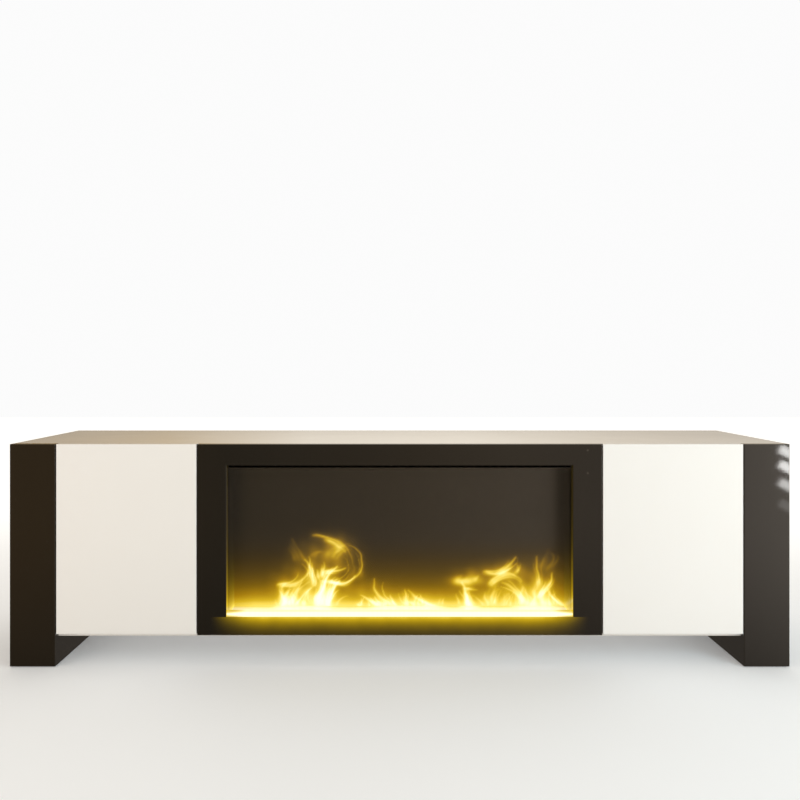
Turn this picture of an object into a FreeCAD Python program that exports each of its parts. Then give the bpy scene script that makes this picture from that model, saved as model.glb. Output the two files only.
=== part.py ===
"""Electric fireplace: a low media console with an electric fire insert in its centre bay.

Units are millimetres. The origin is at the middle of the footprint on the floor, +X runs to the
right of the front view, the front faces -Y and +Z is up. Pieces that come in a left and a right
version are drawn on the right (+X) and mirrored.
"""
import math
import os

import FreeCAD
import Part

# ---------------------------------------------------------------- overall sizes
OVERALL_WIDTH = 1800.0
OVERALL_DEPTH = 400.0
OVERALL_HEIGHT = 515.0

# ---------------------------------------------------------------- cabinet sizes
BOARD = 16.0               # carcass boards and door leaves
FRONT_BOARD = BOARD + 2.0  # fixed black fronts, thicker than the doors by the bumper gap
BACK_BOARD = 3.0           # rear panels
EDGE_ROUND = 1.0           # eased edge of the visible boards
LEG_WIDTH = 105.0
GLIDE_HEIGHT = 2.0
GLIDE_RADIUS = 12.0
CARCASS_BOTTOM = 67.0      # floor to the underside of the bottom panel
DOOR_DROP = 9.5            # door's lower edge above the carcass underside
FRAME_DROP = 7.0           # front frame's lower edge above the carcass underside
DOOR_SEAM = 2.0            # gap at both sides of a door
FRAME_WIDTH = 935.0
OPENING_WIDTH = 800.0
OPENING_RISE = 49.0        # carcass underside to the lower edge of the fire opening
OPENING_DROP = 49.0        # top of the cabinet to the upper edge of the fire opening
RAIL_HEIGHT = 60.0
CABLE_HOLE_RADIUS = 30.0
CABLE_HOLE_RISE = 47.0     # above the bottom panel
SENSOR_INSET = 33.5        # sensor windows from the frame's outer edge
SENSOR_RADIUS = 2.5
SENSOR_DROPS = (14.0, 67.0)

# ---------------------------------------------------------------- shelf and its pins
SHELF_SETBACK = 32.0
SHELF_PIN_RADIUS = 2.45
SHELF_PIN_DEPTH = 8.0
SHELF_PIN_REACH = 9.0
SHELF_HOLE_PITCH = 32.0

# ---------------------------------------------------------------- door hinges and latches
HINGE_END_DISTANCE = 84.0  # hinge height from the door's top and bottom edges
CUP_RADIUS = 17.5
CUP_DEPTH = 12.5
CUP_OFFSET = 22.5          # cup axis from the hinge edge of the door
CUP_WALL = 1.0
LINK_RADII = (34.5, 37.5)
LINK_END_ANGLE = 92.3      # from the closed door leaf towards the leg wall, in degrees
LINK_CUP_GAP = 0.6         # strap tip to the cup's bottom
LINK_HALF_HEIGHT = 5.0
CHEEK_RADII = (33.0, 36.8)
CHEEK_END_ANGLE = 88.0
CHEEK_GAP = 0.3
CHEEK_THICKNESS = 2.2
LATCH_LENGTH = 75.0
LATCH_SIDE = 14.0
PLUNGER_RADIUS = 3.0
PLUNGER_LENGTH = 58.0
PLUNGER_CLEARANCE = 0.4

# ---------------------------------------------------------------- fire insert sizes
SHEET = 1.2
INSERT_DEPTH = 154.0
INSERT_SIDE_GAP = 2.5
GLASS = 4.0
GLASS_MARGIN = 12.0        # glass behind the frame at the sides and the bottom
AIR_SLOT = 8.0             # height of the warm air slot over the glass
CHAMBER_DEPTH = 70.0       # glass to flame screen
SCREEN = 3.0
MASK_OFFSET = 6.0          # flame screen to the cut-out plate
LIGHT_BAR_HEIGHT = 12.0
LIGHT_BAR_DEPTH = 15.0
SHAFT_RADIUS = 3.0
RUNNING_CLEARANCE = 0.05
ROTOR_SETBACK = 110.0      # rotor axis behind the carcass front
ROTOR_RISE = 49.0          # rotor axis above the bottom panel
ROTOR_BLADES = 14
ROTOR_BLADE_REACH = 20.0
BLOWER_SETBACK = 116.0
BLOWER_DROP = 38.0         # blower axis below the top panel
BLOWER_RADIUS = 24.0
BLOWER_LENGTH = 300.0
BLOWER_BLADES = 24
INLET_INSET = 62.5         # power inlet centre from the frame edge
INLET_RISE = 67.0
SCREW_RADIUS = 1.5
SCREW_HEAD_RADIUS = 3.5
SCREW_HEAD = 2.0
PILOT_RADIUS = 1.55

# ---------------------------------------------------------------- derived positions
HALF_WIDTH = OVERALL_WIDTH / 2
FRONT_Y = -OVERALL_DEPTH / 2
REAR_Y = OVERALL_DEPTH / 2
CARCASS_FRONT = FRONT_Y + FRONT_BOARD
CARCASS_REAR = REAR_Y - BACK_BOARD
LEG_INNER_X = HALF_WIDTH - LEG_WIDTH
DIVIDER_IN = FRAME_WIDTH / 2 - BOARD / 2
DIVIDER_OUT = DIVIDER_IN + BOARD
FLOOR_TOP = CARCASS_BOTTOM + BOARD
TOP_UNDER = OVERALL_HEIGHT - BOARD
OPENING_HALF = OPENING_WIDTH / 2
OPENING_BOTTOM = CARCASS_BOTTOM + OPENING_RISE
OPENING_TOP = OVERALL_HEIGHT - OPENING_DROP
DOOR_BOTTOM = CARCASS_BOTTOM + DOOR_DROP
DOOR_BACK = FRONT_Y + BOARD
DOOR_OUTER_X = LEG_INNER_X - DOOR_SEAM
DOOR_INNER_X = FRAME_WIDTH / 2 + DOOR_SEAM
CUP_BOTTOM = BOARD - CUP_DEPTH + CUP_WALL
LINK_START_ANGLE = math.degrees(math.asin((CUP_BOTTOM + LINK_CUP_GAP) / LINK_RADII[0]))
CHEEK_START_ANGLE = LINK_START_ANGLE + 2.5
HINGE_HEIGHTS = (DOOR_BOTTOM + HINGE_END_DISTANCE, OVERALL_HEIGHT - HINGE_END_DISTANCE)
SHELF_PIN_HEIGHT = (FLOOR_TOP + TOP_UNDER) / 2 - 24.0
SHELF_PIN_ROWS = (CARCASS_FRONT + 72.0, CARCASS_REAR - 47.0)
GLASS_BACK = CARCASS_FRONT + GLASS
GLASS_TOP = OPENING_TOP - AIR_SLOT
CEILING_Z = GLASS_TOP - 1.0
SCREEN_FRONT = GLASS_BACK + CHAMBER_DEPTH
SCREEN_BACK = SCREEN_FRONT + SCREEN
MASK_FRONT = SCREEN_BACK + MASK_OFFSET
INSERT_HALF = DIVIDER_IN - INSERT_SIDE_GAP
INSERT_REAR = CARCASS_FRONT + 1.0 + INSERT_DEPTH
INSERT_TOP = TOP_UNDER - 1.0
ROTOR_Y = CARCASS_FRONT + ROTOR_SETBACK
ROTOR_Z = FLOOR_TOP + ROTOR_RISE
BLOWER_Y = CARCASS_FRONT + BLOWER_SETBACK
BLOWER_Z = TOP_UNDER - BLOWER_DROP
INLET_X = FRAME_WIDTH / 2 - INLET_INSET
INLET_Z = FLOOR_TOP + INLET_RISE
ROCKER_Z = INLET_Z + 16.0
ROCKER_Y = INSERT_REAR - 2.5


# ---------------------------------------------------------------- shape helpers
def box(x0, x1, y0, y1, z0, z1):
    """Block between two corners."""
    return Part.makeBox(x1 - x0, y1 - y0, z1 - z0, FreeCAD.Vector(x0, y0, z0))


def rod(axis, radius, start, length):
    """Round bar that starts at a point and runs along +X, +Y or +Z."""
    direction = {"x": (1, 0, 0), "y": (0, 1, 0), "z": (0, 0, 1)}[axis]
    return Part.makeCylinder(radius, length, FreeCAD.Vector(*start), FreeCAD.Vector(*direction))


def mirrored(shape):
    """The same shape on the other side of the middle plane."""
    return shape.mirror(FreeCAD.Vector(0, 0, 0), FreeCAD.Vector(1, 0, 0))


def both_sides(shapes):
    """Right-hand shapes followed by their left-hand twins."""
    return list(shapes) + [mirrored(shape) for shape in shapes]


def group(shapes):
    """Several separate solids kept in one piece file."""
    return Part.makeCompound(list(shapes))


def joined(shapes):
    """One clean solid made of overlapping shapes."""
    first = shapes[0]
    return first.fuse(list(shapes[1:])).removeSplitter()


def cut_away(shape, tools):
    """The shape with every tool removed."""
    if not tools:
        return shape
    return shape.cut(list(tools))


def eased(shape, keep):
    """Round the straight outer edges whose midpoint passes the keep test."""
    edges = [edge for edge in shape.Edges if keep(edge.CenterOfMass)]
    return shape.makeFillet(EDGE_ROUND, edges)


def board_with_eased_front(x0, x1, y0, y1, z0, z1):
    """Board whose front edges are eased."""
    return eased(box(x0, x1, y0, y1, z0, z1), lambda point: abs(point.y - y0) < 0.01)


def ring_sector(centre, radii, angles, z0, z1):
    """Part of an upright ring on the right-hand door, angles from the leaf to the leg wall."""
    start = 180.0 - angles[1]
    sweep = angles[1] - angles[0]
    base = FreeCAD.Vector(centre[0], centre[1], z0)
    up = FreeCAD.Vector(0, 0, 1)
    wedge = Part.makeCylinder(radii[1], z1 - z0, base, up, sweep)
    wedge.rotate(base, up, start)
    return wedge.cut(Part.makeCylinder(radii[0], z1 - z0, base, up))


def profile_along_x(points, x0, x1):
    """Prism with a Y-Z outline that runs along X."""
    corners = [FreeCAD.Vector(x0, y, z) for y, z in points]
    outline = Part.makePolygon(corners + corners[:1])
    return Part.Face(outline).extrude(FreeCAD.Vector(x1 - x0, 0, 0))


def profile_along_y(points, y0, y1):
    """Prism with an X-Z outline that runs along Y."""
    corners = [FreeCAD.Vector(x, y0, z) for x, z in points]
    outline = Part.makePolygon(corners + corners[:1])
    return Part.Face(outline).extrude(FreeCAD.Vector(0, y1 - y0, 0))


# ---------------------------------------------------------------- cabinet boards
def shelf_pin_holes(face_x, direction):
    """Rows of shelf pin holes in a board face; direction is where the hole goes."""
    start_x = face_x if direction > 0 else face_x - SHELF_PIN_DEPTH - 1.0
    holes = []
    for row_y in SHELF_PIN_ROWS:
        for step in (-1, 0, 1):
            height = SHELF_PIN_HEIGHT + step * SHELF_HOLE_PITCH
            start = (start_x, row_y, height)
            holes.append(rod("x", SHELF_PIN_RADIUS + 0.05, start, SHELF_PIN_DEPTH + 1.0))
    return holes


def hinge_screw_points():
    """Centres of the hinge plate screws on the leg wall, as (y, z)."""
    points = []
    for height in HINGE_HEIGHTS:
        for offset in (-11.0, 11.0):
            points.append((FRONT_Y + 80.0, height + offset))
    return points


def bracket_screw_points():
    """Centres of the bracket screws on the divider, as (y, z)."""
    return [(INSERT_REAR + 26.0, height) for height in bracket_heights()]


def bracket_heights():
    """Heights of the brackets that hold the insert."""
    return (FLOOR_TOP + 45.0, TOP_UNDER - 75.0)


def top_panel():
    """White top, let in behind the fronts."""
    panel = box(-HALF_WIDTH, HALF_WIDTH, CARCASS_FRONT, REAR_Y, TOP_UNDER, OVERALL_HEIGHT)
    return eased(panel, lambda point: point.z > OVERALL_HEIGHT - 0.01 and point.y > CARCASS_FRONT + 1)


def bottom_panel():
    """Long board under all three bays, with bores for the cam locks."""
    panel = box(-LEG_INNER_X, LEG_INNER_X, CARCASS_FRONT, CARCASS_REAR, CARCASS_BOTTOM, FLOOR_TOP)
    bores = [rod("z", 7.5, (x, y, CARCASS_BOTTOM), 12.5) for x, y in cam_lock_points()]
    return cut_away(panel, bores)


def cam_lock_points():
    """Cam locks in the underside of the bottom panel, as (x, y)."""
    spots = []
    for x in (-1, 1):
        for y in (CARCASS_FRONT + 60.0, CARCASS_REAR - 60.0):
            spots.append((x * (LEG_INNER_X - 34.0), y))
            spots.append((x * (DIVIDER_IN + BOARD / 2), y))
    return spots


def cam_locks():
    """Round cams with a screwdriver slot."""
    locks = []
    for x, y in cam_lock_points():
        cam = rod("z", 7.4, (x, y, CARCASS_BOTTOM + 0.5), 11.5)
        slot = box(x - 5.5, x + 5.5, y - 0.8, y + 0.8, CARCASS_BOTTOM, CARCASS_BOTTOM + 3.0)
        locks.append(cam.cut(slot))
    return group(locks)


def divider():
    """Upright board between a side bay and the fire bay."""
    board = box(DIVIDER_IN, DIVIDER_OUT, CARCASS_FRONT, CARCASS_REAR, FLOOR_TOP, TOP_UNDER)
    holes = shelf_pin_holes(DIVIDER_OUT, -1)
    for y, z in bracket_screw_points():
        holes.append(rod("x", PILOT_RADIUS, (DIVIDER_IN, y, z), 11.0))
    return cut_away(board, holes)


def leg_front():
    """Black strip on the front of a leg box."""
    x0 = LEG_INNER_X
    return board_with_eased_front(x0, HALF_WIDTH, FRONT_Y, CARCASS_FRONT, GLIDE_HEIGHT, OVERALL_HEIGHT)


def leg_outer_side():
    """Outer wall of a leg box."""
    x0 = HALF_WIDTH - BOARD
    return box(x0, HALF_WIDTH, CARCASS_FRONT, REAR_Y, GLIDE_HEIGHT, TOP_UNDER)


def leg_inner_side():
    """Inner wall of a leg box, which is also the hinge wall of the side bay."""
    wall = box(LEG_INNER_X, LEG_INNER_X + BOARD, CARCASS_FRONT, REAR_Y, GLIDE_HEIGHT, TOP_UNDER)
    holes = shelf_pin_holes(LEG_INNER_X, 1)
    for y, z in hinge_screw_points():
        holes.append(rod("x", PILOT_RADIUS, (LEG_INNER_X, y, z), 11.0))
    return cut_away(wall, holes)


def leg_back():
    """Board that closes the rear of a leg box."""
    x0 = LEG_INNER_X + BOARD
    return box(x0, HALF_WIDTH - BOARD, REAR_Y - BOARD, REAR_Y, GLIDE_HEIGHT, TOP_UNDER)


def leg_base():
    """Board that closes the foot of a leg box."""
    x0 = LEG_INNER_X + BOARD
    x1 = HALF_WIDTH - BOARD
    return box(x0, x1, CARCASS_FRONT, REAR_Y - BOARD, GLIDE_HEIGHT, GLIDE_HEIGHT + BOARD)


def leg_glides():
    """Flat plastic glides under one leg box."""
    middle = HALF_WIDTH - LEG_WIDTH / 2
    spread = LEG_WIDTH / 2 - BOARD - GLIDE_RADIUS
    glides = []
    for x in (middle - spread, middle + spread):
        for y in (CARCASS_FRONT + 30.0, REAR_Y - 48.0):
            disc = rod("z", GLIDE_RADIUS, (x, y, 0.0), GLIDE_HEIGHT)
            glides.append(eased_disc(disc, 0.0, 0.6))
    return glides


def eased_disc(disc, level, radius):
    """Disc with the rim at one level rounded."""
    rims = [edge for edge in disc.Edges if edge.BoundBox.ZMax < level + 0.01]
    return disc.makeFillet(radius, rims)


def cable_hole_centre():
    """Middle of the cable hole in a rear panel, as (x, z)."""
    return ((LEG_INNER_X + DIVIDER_OUT) / 2, FLOOR_TOP + CABLE_HOLE_RISE)


def back_panel():
    """Thin rear panel of a side bay with its cable hole."""
    x, z = cable_hole_centre()
    panel = box(DIVIDER_IN, LEG_INNER_X, CARCASS_REAR, REAR_Y, CARCASS_BOTTOM, TOP_UNDER)
    return panel.cut(rod("y", CABLE_HOLE_RADIUS, (x, CARCASS_REAR, z), BACK_BOARD))


def cable_grommet():
    """Plastic ring that lines the cable hole."""
    x, z = cable_hole_centre()
    flange = rod("y", CABLE_HOLE_RADIUS + 5.0, (x, CARCASS_REAR - 2.0, z), 2.0)
    sleeve = rod("y", CABLE_HOLE_RADIUS - 0.1, (x, CARCASS_REAR - 2.0, z), BACK_BOARD + 2.0)
    bore = rod("y", CABLE_HOLE_RADIUS - 4.0, (x, CARCASS_REAR - 2.0, z), BACK_BOARD + 2.0)
    return joined([flange, sleeve]).cut(bore)


def rear_rail():
    """Rail across the open rear of the fire bay."""
    y0 = CARCASS_REAR - BOARD
    return box(-DIVIDER_IN, DIVIDER_IN, y0, CARCASS_REAR, TOP_UNDER - RAIL_HEIGHT, TOP_UNDER)


def shelf():
    """Loose shelf board that lies on four pins."""
    z0 = SHELF_PIN_HEIGHT + SHELF_PIN_RADIUS + 0.2
    x0 = DIVIDER_OUT + 0.5
    x1 = LEG_INNER_X - 0.5
    y0 = CARCASS_FRONT + SHELF_SETBACK
    return board_with_eased_front(x0, x1, y0, CARCASS_REAR - 7.0, z0, z0 + BOARD)


def shelf_pins():
    """Four shelf pins of one side bay, each with a flat tongue."""
    pins = []
    top = SHELF_PIN_HEIGHT + SHELF_PIN_RADIUS + 0.2
    for y in SHELF_PIN_ROWS:
        for face_x, inward in ((DIVIDER_OUT, 1), (LEG_INNER_X, -1)):
            tip_x = face_x + inward * SHELF_PIN_REACH
            root_x = face_x - inward * SHELF_PIN_DEPTH
            start = (min(tip_x, root_x), y, SHELF_PIN_HEIGHT)
            stem = rod("x", SHELF_PIN_RADIUS, start, SHELF_PIN_REACH + SHELF_PIN_DEPTH)
            x0, x1 = sorted((face_x, tip_x))
            tongue = box(x0, x1, y - 4.0, y + 4.0, top - 1.6, top)
            pins.append(joined([stem, tongue]))
    return pins


# ---------------------------------------------------------------- black front frame
def sensor_centres():
    """Middles of the sensor windows, as (x, z)."""
    x = FRAME_WIDTH / 2 - SENSOR_INSET
    return [(x, OVERALL_HEIGHT - drop) for drop in SENSOR_DROPS]


def front_frame():
    """Gloss board round the fire opening, with eased outer and inner front edges."""
    half = FRAME_WIDTH / 2
    z0 = CARCASS_BOTTOM + FRAME_DROP
    plate = box(-half, half, FRONT_Y, CARCASS_FRONT, z0, OVERALL_HEIGHT)
    hole = box(-OPENING_HALF, OPENING_HALF, FRONT_Y, CARCASS_FRONT, OPENING_BOTTOM, OPENING_TOP)
    frame = eased(plate.cut(hole), lambda point: abs(point.y - FRONT_Y) < 0.01)
    windows = [rod("y", SENSOR_RADIUS + 0.05, (x, FRONT_Y, z), FRONT_BOARD) for x, z in sensor_centres()]
    return cut_away(frame, windows)


def sensor_windows():
    """Smoked lenses of the remote receiver and the status lamp."""
    return group([rod("y", SENSOR_RADIUS, (x, FRONT_Y, z), 6.0) for x, z in sensor_centres()])


# ---------------------------------------------------------------- doors, hinges and latches
def hinge_axis():
    """The right-hand door turns about its front outer corner."""
    return (DOOR_OUTER_X, FRONT_Y)


def cup_axis_x():
    """Position of the hinge cups along the right-hand door."""
    return DOOR_OUTER_X - CUP_OFFSET


def door():
    """Door leaf with bores for the hinge cups and their dowels."""
    leaf = board_with_eased_front(
        DOOR_INNER_X, DOOR_OUTER_X, FRONT_Y, DOOR_BACK, DOOR_BOTTOM, OVERALL_HEIGHT)
    bores = []
    for height in HINGE_HEIGHTS:
        bores.append(rod("y", CUP_RADIUS, (cup_axis_x(), DOOR_BACK - CUP_DEPTH - 0.1, height), CUP_DEPTH + 0.1))
        for offset in (-22.5, 22.5):
            start = (cup_axis_x() - 9.5, DOOR_BACK - 11.0, height + offset)
            bores.append(rod("y", 4.0, start, 11.0))
    return cut_away(leaf, bores)


def hinge_cup(height):
    """Pressed steel cup with a flange and two dowels."""
    x = cup_axis_x()
    body = rod("y", CUP_RADIUS - 0.1, (x, DOOR_BACK - CUP_DEPTH, height), CUP_DEPTH)
    flange = box(x - 19.0, x + 19.0, DOOR_BACK, DOOR_BACK + 1.2, height - 28.0, height + 28.0)
    upright = [edge for edge in flange.Edges if abs(edge.tangentAt(edge.FirstParameter).y) > 0.9]
    flange = flange.makeFillet(8.0, upright)
    dowels = []
    for offset in (-22.5, 22.5):
        dowels.append(rod("y", 3.9, (x - 9.5, DOOR_BACK - 10.5, height + offset), 10.5))
    hollow_start = (x, DOOR_BACK - CUP_DEPTH + CUP_WALL, height)
    hollow = rod("y", CUP_RADIUS - 0.1 - CUP_WALL, hollow_start, CUP_DEPTH + 2.0)
    return joined([body, flange] + dowels).cut(hollow)


def hinge_link(height):
    """Curved strap that runs from the fixed arm into the cup."""
    z0 = height - LINK_HALF_HEIGHT
    angles = (LINK_START_ANGLE, LINK_END_ANGLE)
    return ring_sector(hinge_axis(), LINK_RADII, angles, z0, height + LINK_HALF_HEIGHT)


def hinge_arm(height):
    """Fixed arm: wall plate, body and the two cheeks that guide the strap."""
    axis_x, axis_y = hinge_axis()
    plate = box(axis_x - 1.0, LEG_INNER_X, axis_y + 45.0, axis_y + 97.0, height - 16.0, height + 16.0)
    holes = []
    for y, z in hinge_screw_points():
        holes.append(rod("x", PILOT_RADIUS, (axis_x - 2.0, y, z), 6.0))
    cheek_outer = LINK_HALF_HEIGHT + CHEEK_GAP + CHEEK_THICKNESS
    body = box(axis_x - 9.0, axis_x - 1.0, axis_y + 40.0, axis_y + 72.0, height - cheek_outer, height + cheek_outer)
    parts = [plate, body]
    for side in (-1, 1):
        low, high = sorted((side * (LINK_HALF_HEIGHT + CHEEK_GAP), side * cheek_outer))
        angles = (CHEEK_START_ANGLE, CHEEK_END_ANGLE)
        cheek = ring_sector(hinge_axis(), CHEEK_RADII, angles, height + low, height + high)
        pad = box(axis_x - 9.0, axis_x - 1.0, axis_y + 31.0, axis_y + 42.0, height + low, height + high)
        parts += [cheek, pad]
    return joined(parts).cut(holes)


def latch_centre():
    """Axis of the push latch, as (x, z)."""
    return (DIVIDER_OUT + LATCH_SIDE / 2, TOP_UNDER - 12.0)


def latch_body():
    """Housing of the push latch on the divider."""
    x, z = latch_centre()
    half = LATCH_SIDE / 2
    y0 = CARCASS_FRONT + 2.0
    housing = box(x - half, x + half, y0, y0 + LATCH_LENGTH, z - half, z + half)
    return housing.cut(rod("y", PLUNGER_RADIUS + 0.3, (x, y0, z), LATCH_LENGTH - 6.0))


def latch_plunger():
    """Sprung plunger that pushes the door open."""
    x, z = latch_centre()
    y0 = DOOR_BACK + PLUNGER_CLEARANCE
    stem = rod("y", PLUNGER_RADIUS, (x, y0, z), PLUNGER_LENGTH)
    tip = rod("y", PLUNGER_RADIUS + 1.5, (x, y0, z), 2.2)
    return joined([stem, tip])


def door_bumpers():
    """Soft dots on the divider edge behind one door."""
    x = (DOOR_INNER_X + DIVIDER_OUT) / 2
    heights = (FLOOR_TOP + 12.0, TOP_UNDER - 12.0)
    return [rod("y", 2.5, (x, CARCASS_FRONT - 1.5, z), 1.5) for z in heights]


# ---------------------------------------------------------------- insert casing
def firebox_plate(z0):
    """Horizontal sheet of the insert casing."""
    return box(-INSERT_HALF, INSERT_HALF, CARCASS_FRONT + 1.0, INSERT_REAR, z0, z0 + SHEET)


def firebox_end():
    """Vertical end sheet of the insert casing."""
    y0 = CARCASS_FRONT + 1.0
    x0 = INSERT_HALF - SHEET
    return box(x0, INSERT_HALF, y0, INSERT_REAR, FLOOR_TOP + SHEET, INSERT_TOP - SHEET)


def vent_slots(x_middle, count, z0, z1):
    """Row of upright air slots through the rear cover."""
    pitch = 11.0
    slots = []
    for index in range(count):
        x = x_middle + (index - (count - 1) / 2) * pitch
        bar = box(x - 2.0, x + 2.0, INSERT_REAR - 3.0, INSERT_REAR + 1.0, z0, z1)
        slots.append(bar)
    return slots


def cover_screw_points():
    """Screws round the rear cover, as (x, z)."""
    x_far = INSERT_HALF - 9.0
    x_near = INSERT_HALF / 2
    points = []
    for z in (FLOOR_TOP + 9.0, INSERT_TOP - 9.0):
        points += [(-x_far, z), (-x_near, z), (x_near, z), (x_far, z)]
    return points


def rear_cover():
    """Vented sheet on the rear of the insert."""
    half = INSERT_HALF - SHEET
    y0 = INSERT_REAR - SHEET
    sheet = box(-half, half, y0, INSERT_REAR, FLOOR_TOP + SHEET, INSERT_TOP - SHEET)
    tools = vent_slots(0.0, 27, BLOWER_Z - 50.0, BLOWER_Z - 10.0)
    tools += vent_slots(-OPENING_HALF / 2, 13, FLOOR_TOP + 40.0, FLOOR_TOP + 90.0)
    tools += vent_slots(OPENING_HALF / 2, 13, FLOOR_TOP + 40.0, FLOOR_TOP + 90.0)
    tools.append(inlet_cutout(y0 - 1.0, INSERT_REAR + 1.0))
    for x, z in cover_screw_points() + bracket_cover_points():
        tools.append(rod("y", PILOT_RADIUS, (x, y0 - 1.0, z), 4.0))
    return cut_away(sheet, tools)


def bracket_cover_points():
    """Bracket screws in the rear cover, as (x, z)."""
    points = []
    for side in (-1, 1):
        points += [(side * (INSERT_HALF - 14.0), z) for z in bracket_heights()]
    return points


def insert_brackets():
    """Angle brackets of the right-hand end of the insert."""
    thickness = 1.5
    brackets = []
    for z in bracket_heights():
        rear_leg = box(INSERT_HALF - 22.0, DIVIDER_IN, INSERT_REAR, INSERT_REAR + thickness, z - 15.0, z + 15.0)
        side_leg = box(DIVIDER_IN - thickness, DIVIDER_IN, INSERT_REAR, INSERT_REAR + 42.0, z - 15.0, z + 15.0)
        angle = joined([rear_leg, side_leg])
        holes = [rod("y", PILOT_RADIUS, (INSERT_HALF - 14.0, INSERT_REAR - 1.0, z), 4.0)]
        holes.append(rod("x", PILOT_RADIUS, (DIVIDER_IN - 4.0, INSERT_REAR + 26.0, z), 6.0))
        brackets.append(angle.cut(holes))
    return brackets


def screw(axis, head_point, inward):
    """Pan head screw; head_point lies on the clamped face and inward is +1 or -1 along the axis."""
    x, y, z = head_point
    shank_length = 8.0
    shift = {"x": (1, 0, 0), "y": (0, 1, 0)}[axis]
    head_start = 0.0 if inward < 0 else -SCREW_HEAD
    shank_start = -shank_length if inward < 0 else 0.0

    def moved(distance):
        return (x + shift[0] * distance, y + shift[1] * distance, z + shift[2] * distance)

    head = rod(axis, SCREW_HEAD_RADIUS, moved(head_start), SCREW_HEAD)
    shank = rod(axis, SCREW_RADIUS, moved(shank_start), shank_length)
    return joined([head, shank])


def mounting_screws():
    """Screws of the hinge plates, the insert brackets and the rear cover."""
    plate_face = DOOR_OUTER_X - 1.0
    right = [screw("x", (plate_face, y, z), 1) for y, z in hinge_screw_points()]
    right += [screw("x", (DIVIDER_IN - 1.5, y, z), 1) for y, z in bracket_screw_points()]
    screws = both_sides(right)
    screws += [screw("y", (x, INSERT_REAR, z), -1) for x, z in cover_screw_points()]
    screws += [screw("y", (x, INSERT_REAR + 1.5, z), -1) for x, z in bracket_cover_points()]
    return group(screws)


# ---------------------------------------------------------------- viewing chamber
def front_glass():
    """Toughened pane behind the frame, stopping short of the warm air slot."""
    half = OPENING_HALF + GLASS_MARGIN
    return box(-half, half, CARCASS_FRONT, GLASS_BACK, OPENING_BOTTOM - GLASS_MARGIN, GLASS_TOP)


def glass_clips():
    """Stepped clips that hold one side of the pane against the frame."""
    clips = []
    edge = OPENING_HALF + GLASS_MARGIN
    for height in (OPENING_BOTTOM + 40.0, (OPENING_BOTTOM + GLASS_TOP) / 2, GLASS_TOP - 40.0):
        z0, z1 = height - 8.0, height + 8.0
        foot = box(edge + 0.5, edge + 14.0, CARCASS_FRONT, CARCASS_FRONT + SHEET, z0, z1)
        riser = box(edge + 0.5, edge + 0.5 + SHEET, CARCASS_FRONT, GLASS_BACK + SHEET, z0, z1)
        lip = box(edge - 6.0, edge + 0.5 + SHEET, GLASS_BACK, GLASS_BACK + SHEET, z0, z1)
        clips.append(joined([foot, riser, lip]))
    return clips


def inner_wall():
    """Glossy side wall of the viewing chamber."""
    z0 = FLOOR_TOP + SHEET
    return box(OPENING_HALF, OPENING_HALF + 2.0, GLASS_BACK, SCREEN_FRONT, z0, CEILING_Z)


def chamber_ceiling():
    """Sheet over the viewing chamber that is also the floor of the warm air duct."""
    half = OPENING_HALF + 2.0
    return box(-half, half, GLASS_BACK, BLOWER_Y - 31.5, CEILING_Z, CEILING_Z + SHEET)


def ember_floor():
    """Glossy floor of the viewing chamber, folded down at front and rear."""
    z1 = OPENING_BOTTOM - 2.0
    plate = box(-OPENING_HALF, OPENING_HALF, GLASS_BACK, SCREEN_FRONT, z1 - 2.0, z1)
    front_lip = box(-OPENING_HALF, OPENING_HALF, GLASS_BACK, GLASS_BACK + 1.5, FLOOR_TOP + SHEET, z1)
    rear_lip = box(-OPENING_HALF, OPENING_HALF, SCREEN_FRONT - 1.5, SCREEN_FRONT, FLOOR_TOP + SHEET, z1)
    return joined([plate, front_lip, rear_lip])


def flame_screen():
    """Frosted screen on which the flames appear."""
    half = OPENING_HALF + 2.0
    return box(-half, half, SCREEN_FRONT, SCREEN_BACK, FLOOR_TOP + SHEET, CEILING_Z)


def flame_hole(x, height, lean):
    """One flame-shaped cut-out, as an X-Z outline."""
    z0 = OPENING_BOTTOM + 6.0
    outline = [(-9, 0), (9, 0), (14, 0.22), (10, 0.45), (12, 0.62), (3, 1.0), (0, 0.66), (-8, 0.8), (-13, 0.3)]
    return [(x + dx + lean * part, z0 + height * part) for dx, part in outline]


def flame_mask():
    """Cut-out plate that shapes the light of the rotor into flames."""
    half = OPENING_HALF - 5.0
    top = OPENING_BOTTOM + 0.6 * (OPENING_TOP - OPENING_BOTTOM)
    plate = box(-half, half, MASK_FRONT, MASK_FRONT + 1.0, FLOOR_TOP + SHEET, top)
    count = 17
    holes = []
    for index in range(count):
        x = (index - (count - 1) / 2) * (2 * half - 60.0) / (count - 1)
        height = 85.0 + 55.0 * math.sin(index * 2.1)
        outline = flame_hole(x, height, 12.0 * math.cos(index * 1.7))
        holes.append(profile_along_y(outline, MASK_FRONT - 1.0, MASK_FRONT + 2.0))
    return cut_away(plate, holes)


def light_bar():
    """Frosted bar that lies along the foot of the opening, hollowed for its light board."""
    half = OPENING_HALF - 0.4
    y0 = CARCASS_FRONT - 0.6 - LIGHT_BAR_DEPTH
    bar = box(-half, half, y0, y0 + LIGHT_BAR_DEPTH, OPENING_BOTTOM, OPENING_BOTTOM + LIGHT_BAR_HEIGHT)
    bar = eased(bar, lambda point: point.z > OPENING_BOTTOM + LIGHT_BAR_HEIGHT - 0.01)
    groove = box(-half + 2.0, half - 2.0, y0 + 3.0, y0 + 12.0, OPENING_BOTTOM, OPENING_BOTTOM + 4.0)
    return bar.cut(groove)


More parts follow.
